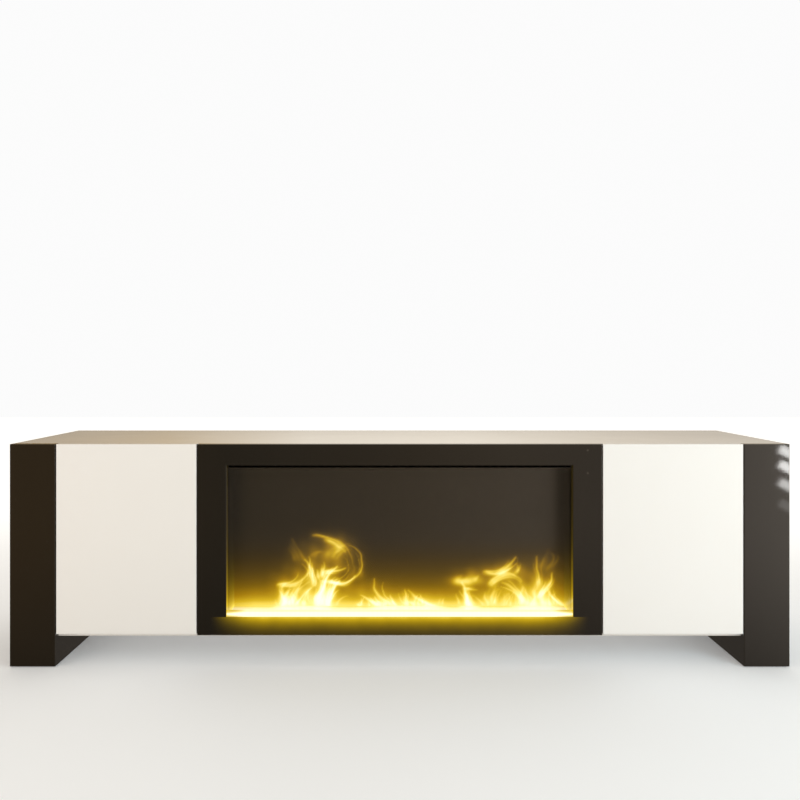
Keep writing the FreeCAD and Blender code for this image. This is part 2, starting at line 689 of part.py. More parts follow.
def light_board(y_middle, z0, width, half):
    """Slim circuit board with a row of light chips."""
    strip = box(-half, half, y_middle - width / 2, y_middle + width / 2, z0, z0 + 1.2)
    chips = []
    count = 40
    for index in range(count):
        x = (index - (count - 1) / 2) * (2 * half - 20.0) / (count - 1)
        chips.append(box(x - 1.8, x + 1.8, y_middle - 1.5, y_middle + 1.5, z0 + 1.0, z0 + 2.4))
    return joined([strip] + chips)


def light_boards():
    """Boards of the light bar and of the flame rotor."""
    bar_middle = CARCASS_FRONT - 0.6 - LIGHT_BAR_DEPTH + 7.5
    bar_board = light_board(bar_middle, OPENING_BOTTOM, 8.0, OPENING_HALF - 3.0)
    rotor_board = light_board(ROTOR_Y - 14.0, FLOOR_TOP + SHEET, 12.0, OPENING_HALF - 20.0)
    return group([bar_board, rotor_board])


def outlet_grille():
    """Slim grille with upright fins in the warm air slot."""
    half = OPENING_HALF - 1.0
    y0, y1 = CARCASS_FRONT - 8.0, CARCASS_FRONT
    z0, z1 = GLASS_TOP + 0.5, OPENING_TOP - 0.4
    ring = box(-half, half, y0, y1, z0, z1)
    ring = ring.cut(box(-half + 2.0, half - 2.0, y0 - 1.0, y1 + 1.0, z0 + 1.0, z1 - 1.0))
    count = 41
    fins = []
    for index in range(count):
        x = (index - (count - 1) / 2) * (2 * half - 30.0) / (count - 1)
        fins.append(box(x - 0.6, x + 0.6, y0 + 1.0, y1 - 1.0, z0 + 0.5, z1 - 0.5))
    return joined([ring] + fins)


# ---------------------------------------------------------------- flame rotor
def flame_rotor():
    """Shaft with thin reflector blades set at changing angles."""
    axis = (ROTOR_Y, ROTOR_Z)
    x_left = -OPENING_HALF - 20.0
    shaft = rod("x", SHAFT_RADIUS, (x_left, axis[0], axis[1]), 2 * OPENING_HALF + 29.5)
    parts = [shaft]
    pitch = (2 * OPENING_HALF - 60.0) / ROTOR_BLADES
    for index in range(ROTOR_BLADES):
        x = -OPENING_HALF + 30.0 + pitch * (index + 0.5)
        reach = ROTOR_BLADE_REACH
        blade = box(x - 0.38 * pitch, x + 0.38 * pitch, axis[0] - reach, axis[0] + reach, axis[1] - 0.4, axis[1] + 0.4)
        blade.rotate(FreeCAD.Vector(x, axis[0], axis[1]), FreeCAD.Vector(1, 0, 0), 52.0 * index)
        parts.append(blade)
    return joined(parts)


def rotor_motor():
    """Gear motor with its foot, at the left end of the rotor."""
    face_x = -OPENING_HALF - 14.0
    body = rod("x", 19.0, (face_x - 22.0, ROTOR_Y, ROTOR_Z), 22.0)
    foot = box(face_x - 2.0, face_x, ROTOR_Y - 19.0, ROTOR_Y + 19.0, FLOOR_TOP + SHEET, ROTOR_Z)
    bore = rod("x", SHAFT_RADIUS + RUNNING_CLEARANCE, (face_x - 7.0, ROTOR_Y, ROTOR_Z), 8.0)
    return joined([body, foot]).cut(bore)


def rotor_bush():
    """Bearing post at the right end of the rotor."""
    x0 = OPENING_HALF + 4.0
    post = box(x0, x0 + 6.0, ROTOR_Y - 8.0, ROTOR_Y + 8.0, FLOOR_TOP + SHEET, ROTOR_Z + 8.0)
    return post.cut(rod("x", SHAFT_RADIUS + RUNNING_CLEARANCE, (x0 - 1.0, ROTOR_Y, ROTOR_Z), 8.0))


# ---------------------------------------------------------------- heater and blower
def blower_wheel():
    """Crossflow wheel: three discs, a ring of blades and the shaft."""
    half = BLOWER_LENGTH / 2
    shaft = rod("x", SHAFT_RADIUS, (-half - 9.0, BLOWER_Y, BLOWER_Z), BLOWER_LENGTH + 25.0)
    parts = [shaft]
    for x in (-half, -0.75, half - 1.5):
        parts.append(rod("x", BLOWER_RADIUS, (x, BLOWER_Y, BLOWER_Z), 1.5))
    for index in range(BLOWER_BLADES):
        y0 = BLOWER_Y + BLOWER_RADIUS - 7.5
        blade = box(-half, half, y0, BLOWER_Y + BLOWER_RADIUS - 0.5, BLOWER_Z - 0.4, BLOWER_Z + 0.4)
        tilt_point = FreeCAD.Vector(0, BLOWER_Y + BLOWER_RADIUS - 4.0, BLOWER_Z)
        blade.rotate(tilt_point, FreeCAD.Vector(1, 0, 0), 25.0)
        turn = 360.0 * index / BLOWER_BLADES
        blade.rotate(FreeCAD.Vector(0, BLOWER_Y, BLOWER_Z), FreeCAD.Vector(1, 0, 0), turn)
        parts.append(blade)
    return joined(parts)


def blower_housing():
    """Curved rear wall, top wall and two end plates round the wheel."""
    half = BLOWER_LENGTH / 2 + 3.0
    radius = BLOWER_RADIUS + 4.0
    axis = FreeCAD.Vector(-half, BLOWER_Y, BLOWER_Z)
    along = FreeCAD.Vector(1, 0, 0)
    wall = Part.makeCylinder(radius + SHEET, 2 * half, axis, along, 150.0)
    wall = wall.cut(Part.makeCylinder(radius, 2 * half, axis, along))
    turn = angle_of_first_edge(wall) * -1.0 - 60.0
    wall.rotate(axis, along, turn)
    top_wall = box(-half, half, BLOWER_Y - 31.0, BLOWER_Y, BLOWER_Z + radius, BLOWER_Z + radius + SHEET)
    parts = [wall, top_wall]
    for x0 in (-half - SHEET, half):
        plate = box(x0, x0 + SHEET, BLOWER_Y - 31.0, BLOWER_Y + 31.0, BLOWER_Z - 31.0, BLOWER_Z + 31.0)
        parts.append(plate)
    housing = joined(parts)
    holes = [rod("x", 7.0, (-half - 2.0, BLOWER_Y, BLOWER_Z), 3.0)]
    holes.append(rod("x", 6.0, (half - 1.0, BLOWER_Y, BLOWER_Z), 3.0))
    return housing.cut(holes)


def angle_of_first_edge(wall):
    """Angle in the Y-Z plane at which a freshly cut ring wall starts."""
    spots = []
    for vertex in wall.Vertexes:
        dy = vertex.Point.y - BLOWER_Y
        dz = vertex.Point.z - BLOWER_Z
        spots.append(math.degrees(math.atan2(dz, dy)) % 360.0)
    spots = sorted(set(round(angle, 3) for angle in spots))
    first, second = spots[0], spots[-1]
    return first if abs((second - first) - 150.0) < 1.0 else second


def blower_bush():
    """Bearing of the blower wheel in the left end plate."""
    x0 = -BLOWER_LENGTH / 2 - 3.0 - SHEET - 2.0
    ring = rod("x", 6.95, (x0, BLOWER_Y, BLOWER_Z), 5.0)
    return ring.cut(rod("x", SHAFT_RADIUS + RUNNING_CLEARANCE, (x0 - 1.0, BLOWER_Y, BLOWER_Z), 8.0))


def blower_motor():
    """Shaded pole motor at the right end of the blower."""
    x0 = BLOWER_LENGTH / 2 + 3.0 + SHEET
    body = rod("x", 20.0, (x0, BLOWER_Y, BLOWER_Z), 34.0)
    core = box(x0 + 8.0, x0 + 26.0, BLOWER_Y - 24.0, BLOWER_Y + 24.0, BLOWER_Z - 24.0, BLOWER_Z + 24.0)
    bore = rod("x", SHAFT_RADIUS + RUNNING_CLEARANCE, (x0 - 1.0, BLOWER_Y, BLOWER_Z), 14.0)
    return joined([body, core]).cut(bore)


def heater_element():
    """Finned heating block in the warm air duct."""
    half = BLOWER_LENGTH / 2
    y0, y1 = MASK_FRONT - 32.0, MASK_FRONT - 14.0
    z0, z1 = CEILING_Z + SHEET, INSERT_TOP - SHEET - 2.0
    ring = box(-half, half, y0, y1, z0, z1)
    ring = ring.cut(box(-half + 3.0, half - 3.0, y0 - 1.0, y1 + 1.0, z0 + 2.0, z1 - 2.0))
    parts = [ring]
    count = 36
    for index in range(count):
        x = (index - (count - 1) / 2) * (2 * half - 14.0) / (count - 1)
        parts.append(box(x - 0.4, x + 0.4, y0 + 1.0, y1 - 1.0, z0 + 1.0, z1 - 1.0))
    middle = (z0 + z1) / 2
    parts.append(box(-half + 1.0, half - 1.0, y0 + 5.0, y1 - 5.0, middle - 2.5, middle + 2.5))
    return joined(parts)


def thermal_cutout():
    """Disc thermostat under the casing top, beside the heater."""
    x, y = BLOWER_LENGTH / 2 + 22.0, MASK_FRONT - 23.0
    top = INSERT_TOP - SHEET
    disc = rod("z", 8.0, (x, y, top - 9.0), 9.0)
    ears = box(x - 16.0, x + 16.0, y - 4.0, y + 4.0, top - 1.5, top)
    return joined([disc, ears])


# ---------------------------------------------------------------- electrics
def control_board():
    """Circuit board on stand-offs at the right end, with its larger components."""
    wall_x = INSERT_HALF - SHEET
    x0, x1 = wall_x - 15.8, wall_x - 14.2
    y0, y1 = CARCASS_FRONT + 40.0, CARCASS_FRONT + 130.0
    z0, z1 = FLOOR_TOP + 130.0, FLOOR_TOP + 250.0
    parts = [box(x0, x1, y0, y1, z0, z1)]
    for y in (y0 + 7.0, y1 - 7.0):
        for z in (z0 + 7.0, z1 - 7.0):
            parts.append(rod("x", 3.0, (x1 - 0.5, y, z), wall_x - x1 + 0.5))
    parts.append(box(x0 - 16.0, x0 + 0.5, y0 + 12.0, y0 + 32.0, z0 + 14.0, z0 + 42.0))
    parts.append(box(x0 - 16.0, x0 + 0.5, y0 + 38.0, y0 + 58.0, z0 + 14.0, z0 + 42.0))
    parts.append(rod("x", 8.0, (x0 - 19.0, y0 + 24.0, z0 + 66.0), 19.5))
    parts.append(box(x0 - 11.0, x0 + 0.5, y0 + 44.0, y0 + 80.0, z0 + 58.0, z0 + 84.0))
    parts.append(box(x0 - 12.0, x0 + 0.5, y0 + 15.0, y0 + 75.0, z0 + 96.0, z0 + 108.0))
    return joined(parts)


def inlet_cutout(y0, y1):
    """Window in the rear cover for the power inlet."""
    return box(INLET_X - 23.0, INLET_X + 23.0, y0, y1, INLET_Z - 28.0, INLET_Z + 28.0)


def power_inlet():
    """Appliance inlet and switch housing in one moulding, with three contact blades."""
    rear = INSERT_REAR + 2.5
    flange = box(INLET_X - 26.0, INLET_X + 26.0, INSERT_REAR, rear, INLET_Z - 31.0, INLET_Z + 31.0)
    body = box(INLET_X - 22.9, INLET_X + 22.9, INSERT_REAR - 25.0, INSERT_REAR, INLET_Z - 27.9, INLET_Z + 27.9)
    socket_z = INLET_Z - 10.0
    socket = box(INLET_X - 12.5, INLET_X + 12.5, rear - 18.0, rear + 1.0, socket_z - 8.5, socket_z + 8.5)
    window = box(INLET_X - 11.0, INLET_X + 11.0, rear - 14.0, rear + 1.0, ROCKER_Z - 8.0, ROCKER_Z + 8.0)
    moulding = joined([flange, body]).cut([socket, window])
    pivot_length = 2 * (11.0 + 2.0)
    pivot = rod("x", 1.5 + RUNNING_CLEARANCE, (INLET_X - pivot_length / 2, ROCKER_Y, ROCKER_Z), pivot_length)
    moulding = moulding.cut(pivot)
    blades = []
    for dx, dz in ((-7.0, -2.0), (0.0, 2.0), (7.0, -2.0)):
        x, z = INLET_X + dx, socket_z + dz
        blades.append(box(x - 1.0, x + 1.0, rear - 19.0, rear - 7.0, z - 2.0, z + 2.0))
    return joined([moulding] + blades)


def rocker_switch():
    """Rocker key on round pivots, drawn in its on position."""
    face = [(-2.0, -7.0), (4.6, -6.8), (2.9, 0.0), (4.6, 6.8), (-2.0, 7.0), (-5.5, 3.0), (-5.5, -3.0)]
    outline = [(ROCKER_Y + dy, ROCKER_Z + dz) for dy, dz in face]
    key = profile_along_x(outline, INLET_X - 10.5, INLET_X + 10.5)
    pivot = rod("x", 1.5, (INLET_X - 12.5, ROCKER_Y, ROCKER_Z), 25.0)
    rocker = joined([key, pivot])
    rocker.rotate(FreeCAD.Vector(INLET_X, ROCKER_Y, ROCKER_Z), FreeCAD.Vector(1, 0, 0), -9.0)
    return rocker


# ---------------------------------------------------------------- all pieces
def sided_pieces():
    """Pieces that exist as a left and a right version, drawn on the right."""
    return {
        "divider": divider(),
        "leg_front": leg_front(),
        "leg_outer_side": leg_outer_side(),
        "leg_inner_side": leg_inner_side(),
        "door": door(),
        "hinge_cups": group([hinge_cup(height) for height in HINGE_HEIGHTS]),
        "hinge_links": group([hinge_link(height) for height in HINGE_HEIGHTS]),
        "hinge_arms": group([hinge_arm(height) for height in HINGE_HEIGHTS]),
        "latch_plunger": latch_plunger(),
    }


def paired_pieces():
    """Groups of identical small pieces or boards, one set on each side."""
    return {
        "leg_backs": group(both_sides([leg_back()])),
        "leg_bases": group(both_sides([leg_base()])),
        "leg_glides": group(both_sides(leg_glides())),
        "back_panels": group(both_sides([back_panel()])),
        "cable_grommets": group(both_sides([cable_grommet()])),
        "shelves": group(both_sides([shelf()])),
        "shelf_pins": group(both_sides(shelf_pins())),
        "latch_bodies": group(both_sides([latch_body()])),
        "door_bumpers": group(both_sides(door_bumpers())),
        "glass_clips": group(both_sides(glass_clips())),
        "inner_walls": group(both_sides([inner_wall()])),
        "firebox_ends": group(both_sides([firebox_end()])),
        "insert_brackets": group(both_sides(insert_brackets())),
        "shaft_bushes": group([rotor_bush(), blower_bush()]),
    }


def single_pieces():
    """Pieces that exist once."""
    return {
        "top_panel": top_panel(),
        "bottom_panel": bottom_panel(),
        "rear_rail": rear_rail(),
        "front_frame": front_frame(),
        "sensor_windows": sensor_windows(),
        "cam_locks": cam_locks(),
        "mounting_screws": mounting_screws(),
        "firebox_top": firebox_plate(INSERT_TOP - SHEET),
        "firebox_bottom": firebox_plate(FLOOR_TOP),
        "rear_cover": rear_cover(),
        "front_glass": front_glass(),
        "chamber_ceiling": chamber_ceiling(),
        "ember_floor": ember_floor(),
        "flame_screen": flame_screen(),
        "flame_mask": flame_mask(),
        "light_bar": light_bar(),
        "light_boards": light_boards(),
        "outlet_grille": outlet_grille(),
        "flame_rotor": flame_rotor(),
        "rotor_motor": rotor_motor(),
        "blower_wheel": blower_wheel(),
        "blower_housing": blower_housing(),
        "blower_motor": blower_motor(),
        "heater_element": heater_element(),
        "thermal_cutout": thermal_cutout(),
        "control_board": control_board(),
        "power_inlet": power_inlet(),
        "rocker_switch": rocker_switch(),
    }


def main():
    pieces = {}
    for name, shape in sided_pieces().items():
        pieces["right_" + name] = shape
        pieces["left_" + name] = mirrored(shape)
    pieces.update(paired_pieces())
    pieces.update(single_pieces())
    os.makedirs("parts", exist_ok=True)
    for name, shape in pieces.items():
        shape.exportStep(os.path.join("parts", name + ".step"))


main()
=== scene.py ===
"""Looks of the electric fireplace: finishes, the lit flame picture, the lights and the camera."""
import math
from typing import NamedTuple

import bpy
import numpy as np
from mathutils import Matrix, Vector


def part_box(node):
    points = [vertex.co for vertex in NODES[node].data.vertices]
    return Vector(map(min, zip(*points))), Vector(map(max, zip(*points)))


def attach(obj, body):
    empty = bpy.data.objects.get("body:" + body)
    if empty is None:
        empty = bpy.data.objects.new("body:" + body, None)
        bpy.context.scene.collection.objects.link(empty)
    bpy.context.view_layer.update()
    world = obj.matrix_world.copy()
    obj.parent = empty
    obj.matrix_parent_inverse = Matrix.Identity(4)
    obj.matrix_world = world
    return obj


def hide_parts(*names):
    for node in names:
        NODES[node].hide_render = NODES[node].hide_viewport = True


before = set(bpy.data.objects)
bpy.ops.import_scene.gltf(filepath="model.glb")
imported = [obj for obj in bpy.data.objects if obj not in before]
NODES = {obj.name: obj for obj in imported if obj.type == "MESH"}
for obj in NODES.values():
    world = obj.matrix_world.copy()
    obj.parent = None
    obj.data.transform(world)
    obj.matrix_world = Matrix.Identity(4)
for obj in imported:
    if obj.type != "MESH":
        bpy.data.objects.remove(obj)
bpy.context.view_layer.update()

# Camera: level, a little left of centre, as far away as the photograph's perspective shows.
CAMERA_PLACE = (-0.027, -1.998, 0.689)
CAMERA_LENS = 35.06
CAMERA_SENSOR = 36.0
CAMERA_SHIFT = (0.015, -0.039)

# Studio: what the polished surfaces mirror. Each stop is a sideways direction and the light from there.
FRONT_LIGHT = (
    (-0.60, (0.60, 0.38, 0.18)),
    (-0.40, (0.56, 0.36, 0.17)),
    (-0.20, (0.36, 0.28, 0.18)),
    (0.03, (0.58, 0.44, 0.29)),
    (0.15, (0.78, 0.61, 0.43)),
    (0.28, (0.74, 0.60, 0.46)),
    (0.40, (1.35, 1.16, 0.98)),
    (0.50, (2.10, 1.85, 1.55)),
)
BACK_LIGHT = (
    (-0.45, (0.24, 0.14, 0.03)),
    (-0.27, (0.46, 0.30, 0.10)),
    (-0.10, (0.86, 0.76, 0.62)),
    (0.10, (0.92, 0.82, 0.68)),
    (0.30, (0.66, 0.56, 0.43)),
    (0.45, (0.56, 0.47, 0.36)),
)
DOME_LIGHT = ((-0.7, (0.82, 0.72, 0.60)), (0.0, (0.88, 0.82, 0.74)), (0.7, (0.96, 0.94, 0.88)))
FRONT_LOW_LIGHT = (0.16, 0.13, 0.09)
BACK_LOW_LIGHT = (0.20, 0.17, 0.14)
# How far up or along a direction points where one part of the room gives way to the next.
FRONT_LOW_EDGE = (-0.46, -0.16)
BACK_LOW_EDGE = (0.060, 0.092)
FRONT_TO_BACK = (-0.45, 0.40)
WALLS_TO_DOME = (0.14, 0.34)
BACKDROP = (0.97, 0.97, 0.97)
FLOOR_COLOUR = (0.77, 0.795, 0.83)
FLOOR_HALF = 9.0
# painted floor glow: emission strength near and far, and the distances in metres over which it grows
FLOOR_GLOW = (0.16, 0.42)
FLOOR_GLOW_REACH = (1.1, 3.0)

# Lamps: each has a place, a target, a size, a power and a colour.
RIGHT_DOOR_MIDDLE = (0.63, -0.2, 0.3)
CONSOLE_MIDDLE = (0.0, 0.0, 0.3)
LAMPS = {
    "key": ((1.9, -1.9, 1.2), RIGHT_DOOR_MIDDLE, 0.9, 13.0, (0.60, 0.88, 1.0)),
    "fill": ((-2.8, -3.0, 2.8), CONSOLE_MIDDLE, 2.4, 8.0, (1.0, 0.88, 0.74)),
    "lift": ((0.8, 3.6, 2.2), CONSOLE_MIDDLE, 2.6, 20.0, (1.0, 0.98, 0.95)),
}

# Colours, in linear light.
LACQUER_WHITE = (0.86, 0.855, 0.845)
BOARD_WHITE = (0.80, 0.79, 0.765)
LACQUER_BLACK = (0.0045, 0.0040, 0.0034)
ENAMEL_BLACK = (0.010, 0.008, 0.005)
PLAIN = (1.0, 1.0, 1.0)
GLOW_YELLOW = (1.0, 0.65, 0.012)
LAMP_WHITE = (1.0, 0.965, 0.62)
FLAME_COLOURS = (
    (0.00, (0.000, 0.000, 0.000)),
    (0.05, (0.050, 0.028, 0.002)),
    (0.15, (0.145, 0.078, 0.002)),
    (0.30, (0.310, 0.168, 0.003)),
    (0.50, (0.580, 0.375, 0.012)),
    (0.68, (0.860, 0.640, 0.085)),
    (0.84, (1.050, 0.860, 0.300)),
    (1.00, (1.150, 1.090, 0.840)),
)


class Lick(NamedTuple):
    """A streak of flame on the screen, in millimetres and degrees. Heading 0 is to the right and 90 is up."""
    x: float
    rise: float
    length: float
    heading: float
    turn: float
    width: float
    heat: float


class Bunch(NamedTuple):
    """Licks that rise together, drawn from the seed about these mean values."""
    x: float
    rise: float
    spread: float
    count: int
    length: float
    heading: float
    turn: float
    width: float
    heat: float


class Patch(NamedTuple):
    """A soft area of flame on the screen, in millimetres."""
    x: float
    rise: float
    half_width: float
    half_height: float
    heat: float


# The fire's picture: large strokes, bunches that fill in around them and soft areas, with places and
# lengths in steps of 10 mm and angles in steps of 5 degrees. Most stroke places are points read off the
# photograph, scaled and rounded, and about half of the strokes lie near those of an earlier converted
# table. The licks of a bunch are drawn from the seed.
STROKES = (
    Lick(-190, 60, 190, -15, 190, 2.0, 0.42),
    Lick(-210, 170, 130, -5, -75, 2.0, 0.25),
    Lick(-170, 60, 70, -20, 80, 3.0, 0.60),
    Lick(-180, 160, 60, -20, -30, 3.0, 0.30),
    Lick(-200, 0, 110, 75, -30, 4.0, 0.85),
    Lick(-170, 0, 70, 85, -50, 3.5, 0.90),
    Lick(-210, 50, 70, 85, 60, 3.0, 0.60),
    Lick(-180, 80, 50, 10, 10, 3.0, 0.60),
    Lick(-290, 50, 80, 0, 60, 4.0, 0.50),
    Lick(-270, 0, 60, 130, -90, 4.0, 0.50),
    Lick(-10, 0, 90, 155, -70, 3.0, 0.50),
    Lick(-50, 0, 50, 150, 0, 3.0, 0.60),
    Lick(90, 0, 80, 165, -35, 3.0, 0.50),
    Lick(20, 0, 40, 95, 15, 3.0, 0.55),
    Lick(170, -10, 70, 95, 30, 4.0, 0.75),
    Lick(160, 40, 30, 0, 0, 3.0, 0.35),
    Lick(210, 80, 60, -5, 35, 4.0, 0.42),
    Lick(240, 80, 60, 30, 30, 3.5, 0.50),
    Lick(220, 50, 90, 45, -100, 4.0, 0.45),
    Lick(300, 10, 70, 120, 40, 4.0, 0.50),
    Lick(340, 40, 80, 95, 0, 2.5, 0.40),
    Lick(340, 20, 70, 50, 30, 3.5, 0.60),
    Lick(400, 0, 60, 145, -30, 3.0, 0.45),
)
BUNCHES = (
    Bunch(-220, 0, 50, 14, 100, 70, -10, 3.0, 0.45),
    Bunch(-210, 70, 30, 8, 50, 85, 20, 2.5, 0.50),
    Bunch(-270, 0, 20, 8, 50, 90, -30, 3.0, 0.40),
    Bunch(-180, 120, 40, 8, 60, 50, -40, 3.0, 0.14),
    Bunch(-240, 110, 20, 5, 60, 125, 10, 3.0, 0.07),
    Bunch(-110, 70, 20, 4, 60, 60, 60, 4.0, 0.08),
    Bunch(0, 0, 60, 12, 40, 140, -10, 2.5, 0.40),
    Bunch(60, 0, 40, 6, 30, 150, 0, 2.5, 0.30),
    Bunch(170, 0, 10, 5, 50, 100, 10, 2.5, 0.35),
    Bunch(160, 60, 30, 6, 30, 30, 20, 5.0, 0.20),
    Bunch(270, 80, 20, 6, 50, 50, 30, 3.0, 0.20),
    Bunch(240, 10, 30, 6, 50, 90, -30, 4.0, 0.20),
    Bunch(330, 0, 50, 14, 60, 95, -10, 4.0, 0.30),
    Bunch(350, 50, 20, 5, 40, 60, 30, 3.0, 0.15),
    Bunch(350, 90, 10, 3, 50, 85, 10, 4.0, 0.07),
    Bunch(360, 90, 10, 2, 60, 40, 80, 3.0, 0.12),
)
SOFT_AREAS = (
    Patch(-200, 30, 50, 50, 0.30),
    Patch(-240, 40, 50, 40, 0.30),
    Patch(-150, 140, 20, 20, 0.35),
    Patch(-190, 110, 50, 40, 0.17),
    Patch(-140, 100, 40, 50, 0.10),
    Patch(-80, 40, 50, 20, 0.12),
    Patch(20, 10, 90, 20, 0.20),
    Patch(160, 60, 30, 10, 0.60),
    Patch(180, 70, 20, 20, 0.20),
    Patch(250, 40, 50, 40, 0.17),
    Patch(260, 80, 40, 20, 0.17),
    Patch(330, 30, 50, 50, 0.35),
)
# Small licks scattered along the embers: from x, to x, how many, longest.
SMALL_LICKS = ((-300, -150, 34, 46), (-100, 110, 26, 24), (140, 390, 40, 44))
FLAME_SEED = 11
FLAME_GRID = 0.0021
LICK_STEP = 1.6
CURL_POWER = 1.6
BASE_HEAT = 0.62
BASE_FADE = 32.0
FOOT_HEAT = 0.12
FOOT_FADE = 5.0
MOST_HEAT = 0.95
GLASS_FACES = 0.22
PICTURE_LAYER = "fire_picture"
PICTURE_STRENGTH = 1.12

# The lamp's glow, painted as emission on what stands around it, and the painted yellow tint of reflections
# near it. Fades, heights and offsets are in metres.
SPILL_FADE = 0.0135
SPILL_PAST_ENDS = 0.040
SPILL_FROM_ENDS = 0.085
REVEAL_FADE = 0.055
GLOW_STRENGTH = 0.86
PAINTED_TINT_TOP = 0.160
PAINTED_TINT_FULL = 0.045
EMBERS_PAST_BUNCH = 0.025
BAR_TAPER = 0.045

# Slats of the blind: how high each is where the leg mirrors it, and its power.
SLATS = ((0.312, 0.50), (0.241, 0.54), (0.157, 0.34), (0.060, 0.05))
SLAT_X = 1.90
SLAT_SEEN_X = 1.80
SLAT_LENGTH = 0.24
SLAT_WIDTH = 0.040
SLAT_TILT = math.radians(27.0)
SLAT_TARGET = (0.86, -0.2, 0.47)
SLAT_COLOUR = (1.0, 0.99, 0.97)

MM = 0.001


# --------------------------------------------------------------------------- frame measurements

def span(node):
    """Lowest and highest corner of a CAD node, in metres."""
    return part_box(node)


BAR_LOW, BAR_HIGH = span("light_bar")
EMBER_LOW, EMBER_HIGH = span("ember_floor")
TOP_HIGH = span("top_panel")[1]
BACK_HIGH = span("back_panels")[1]


# --------------------------------------------------------------------------- shader helpers

class Finish:
    """A Principled material under construction: short calls that add and join its nodes."""

    def __init__(self, name, roughness=0.5, metallic=0.0):
        self.material = bpy.data.materials.new(name)
        self.material.use_nodes = True
        self.tree = self.material.node_tree
        self.tree.nodes.clear()
        output = self.add("ShaderNodeOutputMaterial")
        self.shader = self.add("ShaderNodeBsdfPrincipled")
        self.tree.links.new(self.shader.outputs["BSDF"], output.inputs["Surface"])
        self.place = self.add("ShaderNodeTexCoord").outputs["Object"]
        self.set("Roughness", roughness)
        self.set("Metallic", metallic)

    def add(self, kind, **settings):
        node = self.tree.nodes.new(kind)
        for name, value in settings.items():
            setattr(node, name, value)
        return node

    def feed(self, socket, value):
        """Joins an output to a socket, or sets the socket to a plain value."""
        if isinstance(value, bpy.types.NodeSocket):
            self.tree.links.new(value, socket)
        elif isinstance(value, tuple) and len(value) == 3 and socket.type == "RGBA":
            socket.default_value = (*value, 1.0)
        else:
            socket.default_value = value

    def set(self, name, value):
        self.feed(self.shader.inputs[name], value)

    def stretch(self, scale):
        node = self.add("ShaderNodeMapping")
        node.inputs["Scale"].default_value = scale
        self.feed(node.inputs["Vector"], self.place)
        return node.outputs["Vector"]

    def noise(self, scale, detail=2.0, roughness=0.5, place=None):
        node = self.add("ShaderNodeTexNoise")
        node.inputs["Scale"].default_value = scale
        node.inputs["Detail"].default_value = detail
        node.inputs["Roughness"].default_value = roughness
        self.feed(node.inputs["Vector"], place or self.place)
        return node.outputs["Fac"]

    def cells(self, scale, feature="F1"):
        node = self.add("ShaderNodeTexVoronoi", feature=feature)
        node.inputs["Scale"].default_value = scale
        self.feed(node.inputs["Vector"], self.place)
        return node.outputs["Distance"]

    def wave(self, scale, distortion):
        node = self.add("ShaderNodeTexWave", bands_direction="X")
        node.inputs["Scale"].default_value = scale
        node.inputs["Distortion"].default_value = distortion
        self.feed(node.inputs["Vector"], self.place)
        return node.outputs["Fac"]

    def axis(self, letter):
        """The place along one axis, in metres."""
        return self.split(self.place).outputs[letter]

    def facing(self, letter):
        """How far the surface faces along one axis, -1 to 1."""
        return self.split(self.normal()).outputs[letter]

    def normal(self):
        return self.add("ShaderNodeNewGeometry").outputs["Normal"]

    def split(self, vector):
        node = self.add("ShaderNodeSeparateXYZ")
        self.feed(node.inputs["Vector"], vector)
        return node

    def product(self, *values):
        """All the values multiplied together."""
        total = values[0]
        for value in values[1:]:
            total = self.math("MULTIPLY", total, value)
        return total

    def fade(self, distance, reach):
        """1 where the distance is 0, falling to about a third for each reach."""
        return self.math("EXPONENT", self.math("MULTIPLY", distance, -1.0 / reach))

    def math(self, operation, a, b=0.0, clamp=False):
        node = self.add("ShaderNodeMath", operation=operation, use_clamp=clamp)
        self.feed(node.inputs[0], a)
        self.feed(node.inputs[1], b)
        return node.outputs["Value"]

    def remap(self, value, low, high, to_low=0.0, to_high=1.0, smooth=False):
        node = self.add("ShaderNodeMapRange", interpolation_type="SMOOTHSTEP" if smooth else "LINEAR")
        self.feed(node.inputs["Value"], value)
        node.inputs["From Min"].default_value = low
        node.inputs["From Max"].default_value = high
        node.inputs["To Min"].default_value = to_low
        node.inputs["To Max"].default_value = to_high
        return node.outputs["Result"]

    def mix(self, factor, a, b):
        node = self.add("ShaderNodeMix", data_type="RGBA")
        self.feed(node.inputs["Factor"], factor)
        self.feed(node.inputs[6], a)
        self.feed(node.inputs[7], b)
        return node.outputs[2]

    def bump(self, height, strength, distance):
        node = self.add("ShaderNodeBump")
        node.inputs["Strength"].default_value = strength
        node.inputs["Distance"].default_value = distance
        self.feed(node.inputs["Height"], height)
        self.set("Normal", node.outputs["Normal"])

    def edges(self, radius, wear_scale=60.0):
        """1 along rounded or sharp edges, broken up by noise, 0 on flat faces."""
        bevel = self.add("ShaderNodeBevel", samples=4)
        bevel.inputs["Radius"].default_value = radius
        dot = self.add("ShaderNodeVectorMath", operation="DOT_PRODUCT")
        self.feed(dot.inputs[0], bevel.outputs["Normal"])
        self.feed(dot.inputs[1], self.normal())
        mask = self.remap(dot.outputs["Value"], 0.995, 0.86)
        broken = self.remap(self.noise(wear_scale, 3.0), 0.42, 0.62)
        return self.math("MULTIPLY", mask, broken, clamp=True)

    def vary(self, colour, amount, scale):
        """A colour that drifts by a small share lighter and darker."""
        light = tuple(min(1.0, c * (1.0 + amount)) for c in colour)
        dark = tuple(c * (1.0 - amount) for c in colour)
        spread = self.remap(self.noise(scale, 3.0), 0.3, 0.7)
        return self.mix(spread, dark, light)

    def vary_roughness(self, low, high, scale, place=None):
        self.set("Roughness", self.remap(self.noise(scale, 3.0, place=place), 0.3, 0.7, low, high))


def dress(material, *nodes):
    """Puts a material on CAD nodes, in every slot they have."""
    for name in nodes:
        slots = NODES[name].data.materials
        if not slots:
            slots.append(material)
        for index in range(len(slots)):
            slots[index] = material


# --------------------------------------------------------------------------- board and lacquer

